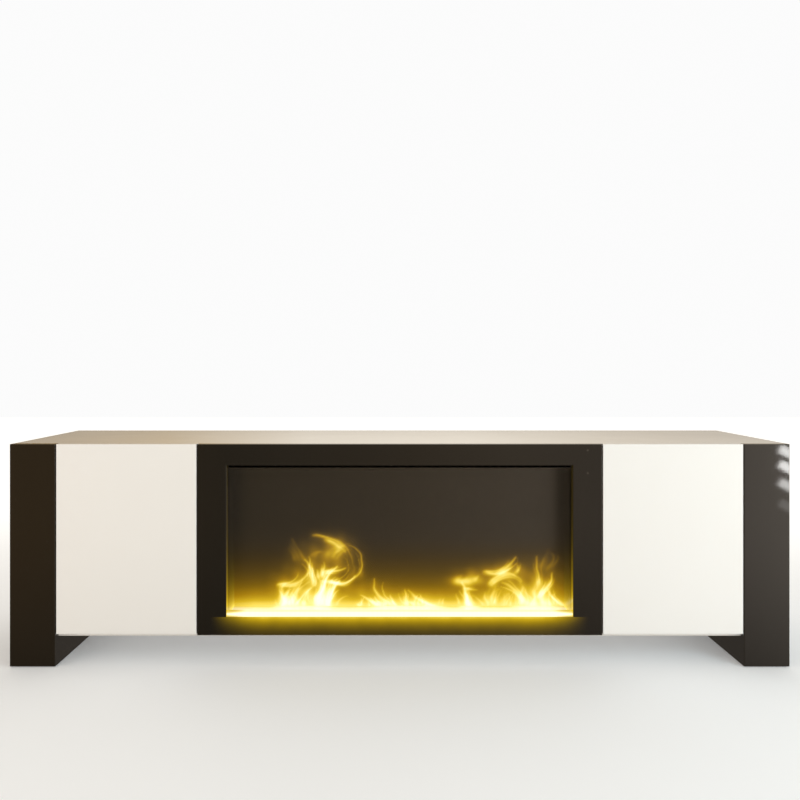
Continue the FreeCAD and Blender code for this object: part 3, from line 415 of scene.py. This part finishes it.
def white_lacquer():
    """High gloss white: a faint orange peel, soft drift in tone, slightly greyer along the edges."""
    finish = Finish("white_lacquer_gloss")
    tone = finish.vary(LACQUER_WHITE, 0.012, 2.2)
    greyed_edges = finish.mix(finish.edges(0.0012), tone, (0.62, 0.60, 0.56))
    finish.set("Base Color", greyed_edges)
    finish.vary_roughness(0.10, 0.16, 14.0)
    finish.set("IOR", 1.5)
    finish.set("Coat Weight", 0.35)
    finish.set("Coat Roughness", 0.05)
    finish.bump(finish.noise(420.0, 2.0), 0.05, 0.0004)
    return finish.material


def top_lacquer():
    """The top's lacquer, with the thin dark line of the edge band's joint along its sides and back."""
    finish = Finish("white_lacquer_top")
    tone = finish.vary(LACQUER_WHITE, 0.006, 1.6)
    from_side = finish.math("ABSOLUTE", finish.axis("X"))
    side_line = finish.remap(from_side, TOP_HIGH.x - 0.0036, TOP_HIGH.x - 0.0022)
    back_line = finish.remap(finish.axis("Y"), TOP_HIGH.y - 0.0120, TOP_HIGH.y - 0.0060)
    line = finish.math("MAXIMUM", side_line, back_line)
    on_top = finish.remap(finish.facing("Z"), 0.5, 0.9)
    line = finish.product(line, on_top, 0.8)
    finish.set("Base Color", finish.mix(line, tone, (0.10, 0.085, 0.065)))
    finish.vary_roughness(0.13, 0.15, 9.0)
    finish.set("IOR", 1.5)
    finish.set("Coat Weight", 0.35)
    finish.set("Coat Roughness", 0.06)
    finish.bump(finish.noise(380.0, 2.0), 0.05, 0.0004)
    return finish.material


def white_board():
    """Melamine faced board: a fine pearl texture and the flecks of light handling."""
    finish = Finish("white_melamine")
    tone = finish.vary(BOARD_WHITE, 0.02, 5.0)
    fleck = finish.remap(finish.noise(240.0, 4.0), 0.66, 0.74, 0.0, 0.25)
    tone = finish.mix(fleck, tone, (0.66, 0.64, 0.60))
    finish.set("Base Color", finish.mix(finish.edges(0.0010), tone, (0.52, 0.49, 0.43)))
    finish.vary_roughness(0.38, 0.52, 30.0)
    finish.bump(finish.cells(1500.0), 0.12, 0.0002)
    return finish.material


def black_lacquer_base(name):
    """High gloss black with a trace of orange peel, dust specks and hair-fine polishing marks."""
    finish = Finish(name)
    tone = finish.vary(LACQUER_BLACK, 0.12, 6.0)
    speck = finish.remap(finish.noise(900.0, 3.0), 0.755, 0.79, 0.0, 0.5)
    finish.set("Base Color", finish.mix(speck, tone, (0.030, 0.027, 0.023)))
    rubbed = finish.noise(60.0, 4.0, place=finish.stretch((1.0, 1.0, 14.0)))
    finish.set("Roughness", finish.remap(rubbed, 0.3, 0.7, 0.022, 0.050))
    finish.set("IOR", 1.5)
    finish.bump(finish.noise(300.0, 2.0), 0.035, 0.0004)
    return finish


def black_lacquer():
    """The legs' black lacquer, with a painted highlight of lighter grey along the arrises."""
    finish = black_lacquer_base("black_lacquer_gloss")
    colour = finish.shader.inputs["Base Color"].links[0].from_socket
    # painted highlight: lighter grey along the edges
    finish.set("Base Color", finish.mix(finish.edges(0.0009), colour, (0.045, 0.041, 0.036)))
    return finish.material


def frame_lacquer():
    """The fire frame's lacquer, with the lamp's glow painted on as emission along the opening's lower edge
    and up its side reveals, and a painted yellow tint in its reflections under the opening.
    """
    finish = black_lacquer_base("frame_lacquer_painted_glow")
    across = finish.math("ABSOLUTE", finish.axis("X"))
    height = finish.axis("Z")
    below = finish.math("SUBTRACT", BAR_LOW.z, height)
    under_bar = finish.remap(below, -0.0005, 0.0005)
    ends = finish.remap(across, BAR_HIGH.x + SPILL_PAST_ENDS, BAR_HIGH.x - SPILL_FROM_ENDS, smooth=True)
    patchy = finish.remap(finish.noise(26.0, 2.0), 0.3, 0.7, 0.9, 1.06)
    # painted glow: emission below the opening, fading downwards from the lamp
    spill = finish.product(finish.fade(below, SPILL_FADE), under_bar, ends, patchy)
    # painted glow up the side reveals, fading upwards from the lamp
    reveal = finish.remap(finish.math("ABSOLUTE", finish.facing("X")), 0.6, 0.95)
    inside = finish.remap(across, BAR_HIGH.x + 0.004, BAR_HIGH.x + 0.002)
    above = finish.math("SUBTRACT", height, BAR_LOW.z)
    climb = finish.math("ADD", finish.math("MULTIPLY", finish.fade(above, REVEAL_FADE), 0.85), 0.015)
    rise = finish.product(reveal, inside, climb)
    tinted = finish.math("MULTIPLY", spill, 3.0, clamp=True)
    # painted reflection: yellow tint of the reflection where the glow below the opening is painted
    finish.set("Specular Tint", finish.mix(tinted, PLAIN, (1.0, 0.70, 0.08)))
    hottest = finish.remap(spill, 0.7, 1.0)
    finish.set("Emission Color", finish.mix(hottest, GLOW_YELLOW, (1.0, 0.78, 0.09)))
    finish.set("Emission Strength", finish.math("MULTIPLY", finish.math("ADD", spill, rise), GLOW_STRENGTH))
    return finish.material


def hardboard():
    """Thin back board: painted white inside, bare brown fibre on its rear face."""
    finish = Finish("hardboard_back")
    fibre = finish.noise(220.0, 5.0, 0.65, place=finish.stretch((1.0, 1.0, 2.4)))
    brown = finish.mix(finish.remap(fibre, 0.35, 0.65), (0.235, 0.140, 0.072), (0.375, 0.245, 0.140))
    white = finish.vary(BOARD_WHITE, 0.025, 7.0)
    rear = finish.remap(finish.axis("Y"), BACK_HIGH.y - 0.0008, BACK_HIGH.y - 0.0004)
    finish.set("Base Color", finish.mix(rear, white, brown))
    finish.vary_roughness(0.55, 0.78, 24.0)
    finish.bump(fibre, 0.25, 0.0004)
    return finish.material


# --------------------------------------------------------------------------- metal

def powder_coat():
    """Matt black powder coat: a pebbled skin, bare grey steel showing on the sharpest edges."""
    finish = Finish("powder_coat_black")
    tone = finish.vary((0.014, 0.0135, 0.013), 0.15, 12.0)
    finish.set("Base Color", finish.mix(finish.edges(0.0006, 90.0), tone, (0.10, 0.098, 0.095)))
    finish.vary_roughness(0.48, 0.62, 40.0)
    finish.bump(finish.cells(1100.0, feature="SMOOTH_F1"), 0.30, 0.0003)
    return finish.material


def gloss_enamel():
    """Gloss black enamel of the warm air slot's grille, faintly rippled."""
    finish = Finish("chamber_enamel")
    finish.set("Base Color", finish.vary((0.007, 0.0062, 0.005), 0.2, 16.0))
    finish.vary_roughness(0.16, 0.26, 30.0)
    finish.bump(finish.noise(140.0, 2.0), 0.08, 0.0006)
    return finish.material


def wall_enamel():
    """The chamber's side walls: black enamel with the lamp's light painted on at its foot as emission."""
    finish = Finish("wall_enamel_painted_glow")
    finish.set("Base Color", finish.vary(ENAMEL_BLACK, 0.2, 16.0))
    finish.vary_roughness(0.16, 0.26, 60.0)
    # painted glow: emission fading up the wall from the ember floor
    lit = finish.fade(finish.math("SUBTRACT", finish.axis("Z"), EMBER_HIGH.z), BASE_FADE * MM)
    foot = finish.math("POWER", lit, 3.0)
    finish.set("Emission Color", finish.mix(foot, (0.62, 0.40, 0.008), (1.0, 0.78, 0.12)))
    finish.set("Emission Strength", finish.math("MINIMUM", lit, 1.0))
    finish.bump(finish.noise(150.0, 2.0), 0.10, 0.0006)
    return finish.material


def ember_enamel():
    """The chamber floor: the lamp's glow painted on as emission, strongest right behind the lamp and whiter
    in front of the fire.
    """
    finish = Finish("ember_enamel_painted_glow")
    finish.set("Base Color", finish.vary(ENAMEL_BLACK, 0.2, 16.0))
    finish.vary_roughness(0.14, 0.24, 60.0)
    sideways = finish.axis("X")
    forward = finish.remap(finish.axis("Y"), EMBER_HIGH.y - 0.002, EMBER_LOW.y + 0.032)
    across = finish.math("ABSOLUTE", sideways)
    ends = finish.remap(across, EMBER_HIGH.x, EMBER_HIGH.x - 0.05, 0.75, 1.0)
    ripple = finish.remap(finish.noise(70.0, 3.0), 0.3, 0.7, 0.97, 1.06)
    strength = finish.math("MULTIPLY", ripple, ends)
    under_fire = 0.0
    for bunch in (bunch for bunch in BUNCHES if bunch.rise == 0):
        off = finish.math("ABSOLUTE", finish.math("SUBTRACT", sideways, bunch.x * MM))
        edge = bunch.spread * MM + EMBERS_PAST_BUNCH
        near = finish.remap(off, edge, bunch.spread * MM / 2, smooth=True)
        under_fire = finish.math("MAXIMUM", under_fire, near)
    # painted glow: colour of the emission, whiter under the fire and towards the front
    back = finish.mix(under_fire, (0.84, 0.61, 0.05), (1.08, 0.98, 0.48))
    finish.set("Emission Color", finish.mix(forward, back, (1.10, 1.04, 0.78)))
    finish.set("Emission Strength", strength)
    finish.bump(finish.noise(150.0, 2.0), 0.10, 0.0006)
    return finish.material


def plated(name, colour, roughness, spangle=0.0, brushed=False):
    """Plated or bare metal: drift in tone, rubbing marks, a crystal spangle where it is hot dipped."""
    finish = Finish(name, metallic=1.0)
    tone = finish.vary(colour, 0.10, 45.0)
    if spangle:
        crystals = finish.remap(finish.cells(190.0), 0.1, 0.6, 0.0, spangle)
        tone = finish.mix(crystals, tone, tuple(c * 0.55 for c in colour))
    rubbed = tuple(min(1, c * 1.3) for c in colour)
    finish.set("Base Color", finish.mix(finish.edges(0.0004, 200.0), tone, rubbed))
    if brushed:
        grain_place, drift, grain = finish.stretch((4.0, 90.0, 90.0)), 8.0, 16.0
    else:
        grain_place, drift, grain = finish.place, 80.0, 700.0
    finish.vary_roughness(roughness * 0.8, roughness * 1.3, drift, place=grain_place)
    finish.bump(finish.noise(grain, 3.0, place=grain_place), 0.08, 0.0002)
    return finish.material


def fins():
    """Bare aluminium with fine pressed lines."""
    finish = Finish("bare_aluminium_fins", metallic=1.0)
    finish.set("Base Color", finish.vary((0.66, 0.65, 0.63), 0.08, 60.0))
    lines = finish.wave(700.0, 0.4)
    finish.set("Roughness", finish.remap(lines, 0.0, 1.0, 0.26, 0.42))
    finish.bump(lines, 0.12, 0.0002)
    return finish.material


def laminations():
    """Motor steel: the stacked edges of thin laminations, lightly oiled."""
    finish = Finish("motor_laminations", metallic=1.0)
    finish.set("Base Color", finish.vary((0.36, 0.355, 0.35), 0.16, 70.0))
    stack = finish.wave(900.0, 0.2)
    finish.set("Roughness", finish.remap(stack, 0.0, 1.0, 0.28, 0.46))
    finish.bump(stack, 0.2, 0.0002)
    return finish.material


# --------------------------------------------------------------------------- plastic and glass

def moulded(name, colour, roughness):
    """Moulded plastic: spark-eroded grain, faint flow marks and rubbed edges."""
    finish = Finish(name)
    tone = finish.vary(colour, 0.05, 30.0)
    rubbed = tuple(min(1.0, c * 1.25 + 0.02) for c in colour)
    finish.set("Base Color", finish.mix(finish.edges(0.0004, 160.0), tone, rubbed))
    finish.vary_roughness(roughness * 0.88, roughness * 1.12, 55.0)
    finish.bump(finish.cells(1400.0, feature="SMOOTH_F1"), 0.12, 0.0002)
    return finish.material


def soft_dots():
    """Clear soft bumper dots, a little cloudy."""
    finish = Finish("clear_soft_dot")
    finish.set("Base Color", finish.vary((0.74, 0.74, 0.71), 0.05, 200.0))
    finish.vary_roughness(0.2, 0.34, 150.0)
    finish.set("Transmission Weight", 0.55)
    finish.set("IOR", 1.48)
    finish.bump(finish.noise(500.0, 2.0), 0.08, 0.0002)
    return finish.material


def lens():
    """Smoked window over the remote receiver and its status light."""
    finish = Finish("smoked_lens")
    finish.set("Base Color", finish.vary((0.020, 0.017, 0.014), 0.15, 300.0))
    finish.vary_roughness(0.05, 0.11, 220.0)
    finish.set("Coat Weight", 0.6)
    finish.set("Coat Roughness", 0.03)
    finish.bump(finish.noise(260.0, 1.0), 0.03, 0.0002)
    return finish.material


def solder_mask(name, colour):
    """Printed board: tracks stand slightly proud under the mask, with small bright pads."""
    finish = Finish(name)
    tracks = finish.remap(finish.wave(120.0, 6.0), 0.45, 0.55)
    mask = finish.mix(tracks, tuple(c * 0.7 for c in colour), colour)
    pads = finish.remap(finish.cells(420.0), 0.16, 0.12)
    finish.set("Base Color", finish.mix(pads, mask, (0.62, 0.60, 0.52)))
    finish.vary_roughness(0.24, 0.36, 80.0)
    finish.bump(tracks, 0.25, 0.0002)
    return finish.material


def painted_tint_mask(finish):
    """Mask of the painted yellow reflection tint: 1 in the glow low down, 0 where the dark part of the
    picture begins.
    """
    return finish.remap(finish.axis("Z"), EMBER_HIGH.z + PAINTED_TINT_TOP, EMBER_HIGH.z + PAINTED_TINT_FULL)


def fire_glass():
    """Toughened glass: it mirrors the room a little, with a painted yellow tint in the reflection low down,
    and the rest shows through.
    """
    finish = Finish("fire_glass_clear", metallic=1.0)
    wiped = finish.noise(18.0, 3.0)
    clean = finish.mix(wiped, (0.90, 0.89, 0.86), (0.98, 0.97, 0.95))
    # painted reflection: the mirrored room tinted yellow low down
    finish.set("Base Color", finish.mix(painted_tint_mask(finish), clean, (0.95, 0.70, 0.15)))
    finish.set("Roughness", finish.remap(wiped, 0.45, 0.75, 0.02, 0.05))
    fresnel = finish.add("ShaderNodeFresnel").outputs["Fac"]
    finish.set("Alpha", finish.math("MULTIPLY", fresnel, GLASS_FACES, clamp=True))
    finish.bump(finish.noise(7.0, 1.0), 0.02, 0.001)
    return finish.material


def light_bar():
    """Frosted acrylic over the lamp: nearly white along its middle, a yellow that closes in at its ends."""
    finish = Finish("lamp_diffuser_lit", roughness=0.35)
    finish.set("Base Color", finish.vary((0.30, 0.27, 0.16), 0.03, 90.0))
    across = finish.math("ABSOLUTE", finish.axis("X"))
    middle = (BAR_LOW.z + BAR_HIGH.z) / 2
    off_middle = finish.math("ABSOLUTE", finish.math("SUBTRACT", finish.axis("Z"), middle))
    thick = finish.remap(across, BAR_HIGH.x, BAR_HIGH.x - BAR_TAPER, 0.001, BAR_HIGH.z - middle)
    white = finish.remap(finish.math("SUBTRACT", off_middle, thick), 0.004, -0.002, smooth=True)
    finish.set("Emission Color", finish.mix(white, (0.92, 0.66, 0.05), LAMP_WHITE))
    chips = finish.remap(finish.wave(30.0, 0.5), 0.0, 1.0, 1.16, 1.20)
    finish.set("Emission Strength", finish.math("MULTIPLY", chips, finish.remap(white, 0.0, 1.0, 0.55, 1.0)))
    finish.bump(finish.noise(600.0, 2.0), 0.1, 0.0002)
    return finish.material


def flame_screen():
    """Smoked acrylic screen: the flame picture glows from within it, under a frosted face, and its
    reflections carry a painted yellow tint low down.
    """
    finish = Finish("flame_screen_lit")
    finish.set("Base Color", finish.vary((0.0055, 0.0046, 0.0030), 0.2, 12.0))
    finish.vary_roughness(0.20, 0.27, 30.0)
    finish.set("IOR", 1.60)
    # painted reflection: yellow tint of the reflections low down
    finish.set("Specular Tint", finish.mix(painted_tint_mask(finish), PLAIN, (1.0, 0.70, 0.06)))
    picture = finish.add("ShaderNodeAttribute", attribute_name=PICTURE_LAYER)
    finish.set("Emission Color", picture.outputs["Color"])
    finish.set("Emission Strength", PICTURE_STRENGTH)
    finish.bump(finish.noise(40.0, 2.0), 0.02, 0.0005)
    return finish.material


def dress_nodes():
    """Gives every CAD node its finish."""
    legs = black_lacquer()
    hinges = plated("nickel_plate", (0.70, 0.68, 0.64), 0.20, brushed=True)
    dress(white_lacquer(), "left_door", "right_door")
    dress(top_lacquer(), "top_panel")
    dress(white_board(), "bottom_panel", "left_divider", "right_divider", "shelves", "rear_rail")
    for side in ("left", "right"):
        dress(legs, *(f"{side}_leg_{part}" for part in ("front", "inner_side", "outer_side")))
        dress(hinges, *(f"{side}_hinge_{part}" for part in ("arms", "cups", "links")))
    dress(legs, "leg_backs", "leg_bases")
    dress(frame_lacquer(), "front_frame")
    dress(hardboard(), "back_panels")
    dress(powder_coat(), "firebox_bottom", "firebox_ends", "firebox_top", "rear_cover", "flame_mask",
          "chamber_ceiling")
    dress(gloss_enamel(), "outlet_grille")
    dress(wall_enamel(), "inner_walls")
    dress(ember_enamel(), "ember_floor")
    dress(plated("zinc_plated_sheet", (0.60, 0.61, 0.62), 0.34, spangle=0.5),
          "glass_clips", "insert_brackets", "blower_housing")
    dress(hinges, "shelf_pins")
    dress(plated("zinc_screw", (0.55, 0.55, 0.56), 0.28), "mounting_screws")
    dress(plated("cast_zinc_cam", (0.48, 0.48, 0.475), 0.42), "cam_locks")
    dress(plated("bronze_bush", (0.47, 0.32, 0.16), 0.40), "shaft_bushes")
    dress(fins(), "heater_element", "flame_rotor", "blower_wheel")
    dress(laminations(), "blower_motor", "rotor_motor")
    dress(solder_mask("green_board", (0.022, 0.120, 0.050)), "control_board")
    dress(solder_mask("white_board_chips", (0.78, 0.77, 0.70)), "light_boards")
    dress(moulded("white_moulding", (0.78, 0.77, 0.73), 0.42), "latch_bodies", "thermal_cutout")
    dress(moulded("grey_moulding", (0.19, 0.19, 0.195), 0.45), "left_latch_plunger", "right_latch_plunger")
    dress(moulded("black_moulding", (0.013, 0.013, 0.0135), 0.46),
          "power_inlet", "rocker_switch", "leg_glides", "cable_grommets")
    dress(soft_dots(), "door_bumpers")
    dress(lens(), "sensor_windows")
    dress(fire_glass(), "front_glass")
    dress(light_bar(), "light_bar")


# --------------------------------------------------------------------------- the flame picture

def lick_heat(x, z, lick):
    """Heat of one streak and the haze around it. It turns more towards its tip, and thins and fades there."""
    core = np.zeros_like(x)
    haze = np.zeros_like(x)
    point_x, point_z = lick.x, lick.rise
    steps = max(4, int(lick.length / LICK_STEP))
    for step in range(steps):
        along = step / (steps - 1)
        angle = math.radians(lick.heading + lick.turn * along ** CURL_POWER)
        point_x += LICK_STEP * math.cos(angle)
        point_z += LICK_STEP * math.sin(angle)
        width = lick.width * (1.15 - 0.75 * along)
        bright = min(1.0, 0.55 + 3.0 * along) * (1.0 - 0.55 * along ** 2)
        away = (x - point_x) ** 2 + (z - point_z) ** 2
        core = np.maximum(core, bright * np.exp(-away / (2.0 * width ** 2)))
        haze = np.maximum(haze, bright * np.exp(-away / (2.0 * (3.2 * width) ** 2)))
    return lick.heat * (core + 0.22 * haze)


def patch_heat(x, z, patch):
    """Heat of one soft area, dappled so that it doesn't read as a disc."""
    sideways = (x - patch.x) / patch.half_width
    upward = (z - patch.rise) / patch.half_height
    dapple = 1.0 + 0.28 * np.sin(x / 7.0 + z / 15.0) * np.sin(z / 11.0 - x / 19.0)
    return patch.heat * np.exp(-sideways ** 2 - upward ** 2) * dapple


def small_licks():
    """Short licks scattered along the embers, the same ones each run."""
    draw = np.random.default_rng(FLAME_SEED)
    licks = []
    for start, end, count, longest in SMALL_LICKS:
        for _ in range(count):
            licks.append(Lick(
                x=draw.uniform(start, end),
                rise=draw.uniform(-4.0, 6.0),
                length=draw.uniform(0.3, 1.0) * longest,
                heading=draw.uniform(62.0, 128.0),
                turn=draw.uniform(-55.0, 55.0),
                width=draw.uniform(1.1, 2.4),
                heat=draw.uniform(0.10, 0.40),
            ))
    return licks


def bunch_licks():
    """The licks of every bunch, longest at its middle and leaning inwards, the same ones each run."""
    draw = np.random.default_rng(FLAME_SEED + 2)
    licks = []
    for bunch in BUNCHES:
        for _ in range(bunch.count):
            side = draw.uniform(-1.0, 1.0)
            licks.append(Lick(
                x=bunch.x + side * bunch.spread,
                rise=bunch.rise + draw.uniform(-5.0, 5.0),
                length=bunch.length * (1.0 - 0.35 * abs(side)) * draw.uniform(0.5, 1.1),
                heading=bunch.heading + 10.0 * side + draw.uniform(-12.0, 12.0),
                turn=bunch.turn + draw.uniform(-40.0, 40.0),
                width=bunch.width * draw.uniform(0.5, 1.3),
                heat=bunch.heat * draw.uniform(0.5, 1.2),
            ))
    return licks


def strands(licks):
    """Two thinner companions beside each lick, so that it reads as a wisp and not as a line."""
    draw = np.random.default_rng(FLAME_SEED + 1)
    companions = []
    for lick in licks:
        for side in (-1.0, 1.0):
            companions.append(lick._replace(
                x=lick.x + side * draw.uniform(2.0, 5.5),
                rise=lick.rise + draw.uniform(-3.0, 3.0),
                length=lick.length * draw.uniform(0.6, 0.95),
                heading=lick.heading - side * draw.uniform(2.0, 9.0),
                turn=lick.turn * draw.uniform(0.8, 1.15),
                width=lick.width * draw.uniform(0.35, 0.55),
                heat=lick.heat * draw.uniform(0.45, 0.85),
            ))
    return companions


def fire_heat(x, z):
    """Heat of the whole picture, 0 to 1, over x and the height above the ember floor, in millimetres."""
    drift_x = x + 1.8 * np.sin(z / 10.0 + x / 31.0) + 0.6 * np.sin(z / 4.3 - x / 13.0)
    drift_z = z + 1.2 * np.sin(x / 10.0 + z / 27.0)
    cool = np.ones_like(x)
    for lick in (*STROKES, *strands(STROKES), *bunch_licks(), *small_licks()):
        cool *= 1.0 - np.clip(lick_heat(drift_x, drift_z, lick), 0.0, MOST_HEAT)
    for patch in SOFT_AREAS:
        cool *= 1.0 - np.clip(patch_heat(x, z, patch), 0.0, MOST_HEAT)
    base = BASE_HEAT * np.exp(-np.maximum(z - 6.0, 0.0) / BASE_FADE)
    base += FOOT_HEAT * np.exp(-np.maximum(z, 0.0) / FOOT_FADE)
    side = 1.0 - 0.18 * np.clip((np.abs(x) - 350.0) / 50.0, 0.0, 1.0)
    return 1.0 - cool * (1.0 - base * side)


def flame_colours(heat):
    """Colour of each heat, straight between the listed stops."""
    stops = [stop for stop, _ in FLAME_COLOURS]
    channels = [np.interp(heat, stops, [colour[i] for _, colour in FLAME_COLOURS]) for i in range(3)]
    return np.stack([*channels, np.ones_like(heat)], axis=-1)


def slab_faces(columns, rows):
    """Faces of the front grid, of the strip round its rim and of the back, and the rim's point numbers."""
    grid = np.arange(rows * columns).reshape(rows, columns)
    quads = np.stack([grid[:-1, :-1], grid[:-1, 1:], grid[1:, 1:], grid[1:, :-1]], axis=-1).reshape(-1, 4)
    rim = np.concatenate([grid[0, :], grid[1:, -1], grid[-1, -2::-1], grid[-2:0:-1, 0]])
    back = rows * columns + np.arange(len(rim))
    following = np.roll(np.arange(len(rim)), -1)
    strips = np.stack([rim, back, back[following], rim[following]], axis=-1)
    return [*quads.tolist(), *strips.tolist(), back[::-1].tolist()], rim


def build_flame_screen():
    """The screen as a fine grid whose points carry the flame picture."""
    low, high = span("flame_screen")
    columns = int((high.x - low.x) / FLAME_GRID)
    rows = int((high.z - low.z) / FLAME_GRID)
    across, up = np.meshgrid(np.linspace(low.x, high.x, columns), np.linspace(low.z, high.z, rows))
    front = np.stack([across.ravel(), np.full(across.size, low.y), up.ravel()], axis=-1)
    faces, rim = slab_faces(columns, rows)
    back = front[rim].copy()
    back[:, 1] = high.y
    mesh = bpy.data.meshes.new("flame_picture")
    mesh.from_pydata(np.concatenate([front, back]).tolist(), [], faces)
    heat = fire_heat(across.ravel() / MM, (up.ravel() - EMBER_HIGH.z) / MM)
    colours = np.concatenate([flame_colours(heat), np.tile((0.0, 0.0, 0.0, 1.0), (len(rim), 1))])
    layer = mesh.attributes.new(PICTURE_LAYER, "FLOAT_COLOR", "POINT")
    layer.data.foreach_set("color", colours.astype(np.float32).ravel())
    mesh.update()
    screen = bpy.data.objects.new("flame_picture", mesh)
    bpy.context.scene.collection.objects.link(screen)
    mesh.materials.append(flame_screen())
    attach(screen, "cabinet")
    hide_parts("flame_screen")


# --------------------------------------------------------------------------- stage, lights, camera

def gradient(tree, value, stops):
    """A colour ramp over directions from -1 to 1."""
    ramp = tree.nodes.new("ShaderNodeValToRGB")
    shifted = tree.nodes.new("ShaderNodeMapRange")
    shifted.inputs["From Min"].default_value = -1.0
    tree.links.new(value, shifted.inputs["Value"])
    tree.links.new(shifted.outputs["Result"], ramp.inputs["Fac"])
    elements = ramp.color_ramp.elements
    while len(elements) < len(stops):
        elements.new(0.5)
    for element, (place, colour) in zip(elements, stops):
        element.position = (place + 1.0) / 2.0
        element.color = (*colour, 1.0)
    return ramp.outputs["Color"]


def blend_colours(tree, factor, low, high, edge):
    """Goes from one colour to the other while the factor crosses the edge, from its start to its end."""
    ease = tree.nodes.new("ShaderNodeMapRange")
    ease.interpolation_type = "SMOOTHSTEP"
    ease.inputs["From Min"].default_value, ease.inputs["From Max"].default_value = edge
    tree.links.new(factor, ease.inputs["Value"])
    mixed = tree.nodes.new("ShaderNodeMix")
    mixed.data_type = "RGBA"
    tree.links.new(ease.outputs["Result"], mixed.inputs["Factor"])
    for socket, colour in ((mixed.inputs[6], low), (mixed.inputs[7], high)):
        if isinstance(colour, bpy.types.NodeSocket):
            tree.links.new(colour, socket)
        else:
            socket.default_value = (*colour, 1.0)
    return mixed.outputs[2]


def build_world():
    """A pale backdrop for the camera. The rest mirrors a soft room, dim front left and bright front right."""
    world = bpy.data.worlds.new("studio")
    bpy.context.scene.world = world
    world.use_nodes = True
    tree = world.node_tree
    tree.nodes.clear()
    direction = tree.nodes.new("ShaderNodeTexCoord").outputs["Generated"]
    split = tree.nodes.new("ShaderNodeSeparateXYZ")
    tree.links.new(direction, split.inputs["Vector"])
    sideways, along, up = (split.outputs[letter] for letter in "XYZ")
    front = gradient(tree, sideways, FRONT_LIGHT)
    front = blend_colours(tree, up, FRONT_LOW_LIGHT, front, FRONT_LOW_EDGE)
    back = gradient(tree, sideways, BACK_LIGHT)
    back = blend_colours(tree, up, BACK_LOW_LIGHT, back, BACK_LOW_EDGE)
    walls = blend_colours(tree, along, front, back, FRONT_TO_BACK)
    lit = blend_colours(tree, up, walls, gradient(tree, sideways, DOME_LIGHT), WALLS_TO_DOME)
    room = tree.nodes.new("ShaderNodeBackground")
    tree.links.new(lit, room.inputs["Color"])
    seen = tree.nodes.new("ShaderNodeBackground")
    seen.inputs["Color"].default_value = (*BACKDROP, 1.0)
    camera_ray = tree.nodes.new("ShaderNodeLightPath").outputs["Is Camera Ray"]
    choose = tree.nodes.new("ShaderNodeMixShader")
    tree.links.new(camera_ray, choose.inputs[0])
    tree.links.new(room.outputs["Background"], choose.inputs[1])
    tree.links.new(seen.outputs["Background"], choose.inputs[2])
    output = tree.nodes.new("ShaderNodeOutputWorld")
    tree.links.new(choose.outputs["Shader"], output.inputs["Surface"])


def build_floor():
    """A wide pale floor that lightens away from the object through a painted emission glow. Lacquer doesn't
    mirror it, and shows the room.
    """
    corners = [(x * FLOOR_HALF, y * FLOOR_HALF, 0) for x, y in ((-1, -1), (1, -1), (1, 1), (-1, 1))]
    mesh = bpy.data.meshes.new("floor")
    mesh.from_pydata(corners, [], [(0, 1, 2, 3)])
    floor = bpy.data.objects.new("floor", mesh)
    bpy.context.scene.collection.objects.link(floor)
    finish = Finish("pale_floor", roughness=0.8)
    finish.set("Base Color", finish.vary(FLOOR_COLOUR, 0.01, 1.5))
    finish.set("Emission Color", (1.0, 0.995, 0.985))
    distance = finish.add("ShaderNodeVectorMath", operation="LENGTH")
    finish.feed(distance.inputs[0], finish.place)
    # painted glow: emission that grows with distance from the object
    glow = finish.remap(distance.outputs["Value"], *FLOOR_GLOW_REACH, *FLOOR_GLOW, smooth=True)
    finish.set("Emission Strength", glow)
    mesh.materials.append(finish.material)
    floor.visible_glossy = False


def area_light(name, place, target, size, power, colour, height=None):
    """A soft rectangular light that the camera doesn't see."""
    lamp = bpy.data.lights.new(name, "AREA")
    lamp.shape = "RECTANGLE"
    lamp.size = size
    lamp.size_y = height or size
    lamp.energy = power
    lamp.color = colour
    holder = bpy.data.objects.new(name, lamp)
    holder.location = place
    holder.rotation_euler = (Vector(target) - Vector(place)).to_track_quat("-Z", "Y").to_euler()
    holder.visible_camera = False
    bpy.context.scene.collection.objects.link(holder)
    return holder


def build_lights():
    """A cool key at the right, a warm fill at the far left and a lift behind. None of them is mirrored."""
    for name, settings in LAMPS.items():
        area_light(name, *settings).visible_glossy = False


def build_blind():
    """Slats of a sunlit blind, far to the right, that the right leg mirrors along its outer edge."""
    drop = (SLAT_X - SLAT_SEEN_X) * math.tan(SLAT_TILT)
    for number, (height, power) in enumerate(SLATS):
        place = (SLAT_X, CAMERA_PLACE[1], height - drop)
        slat = area_light(f"blind_{number}", place, SLAT_TARGET, SLAT_LENGTH, power, SLAT_COLOUR, SLAT_WIDTH)
        slat.rotation_euler.rotate_axis("Z", -SLAT_TILT)


def build_camera():
    """A level camera with the photograph's framing."""
    settings = bpy.data.cameras.new("camera")
    settings.lens = CAMERA_LENS
    settings.sensor_width = CAMERA_SENSOR
    settings.shift_x, settings.shift_y = CAMERA_SHIFT
    settings.clip_start = 0.01
    camera = bpy.data.objects.new("camera", settings)
    camera.location = CAMERA_PLACE
    camera.rotation_euler = (math.radians(90.0), 0.0, 0.0)
    bpy.context.scene.collection.objects.link(camera)
    bpy.context.scene.camera = camera
    bpy.context.scene.view_settings.view_transform = "Standard"


build_camera()
dress_nodes()
build_flame_screen()
build_world()
build_floor()
build_lights()
build_blind()
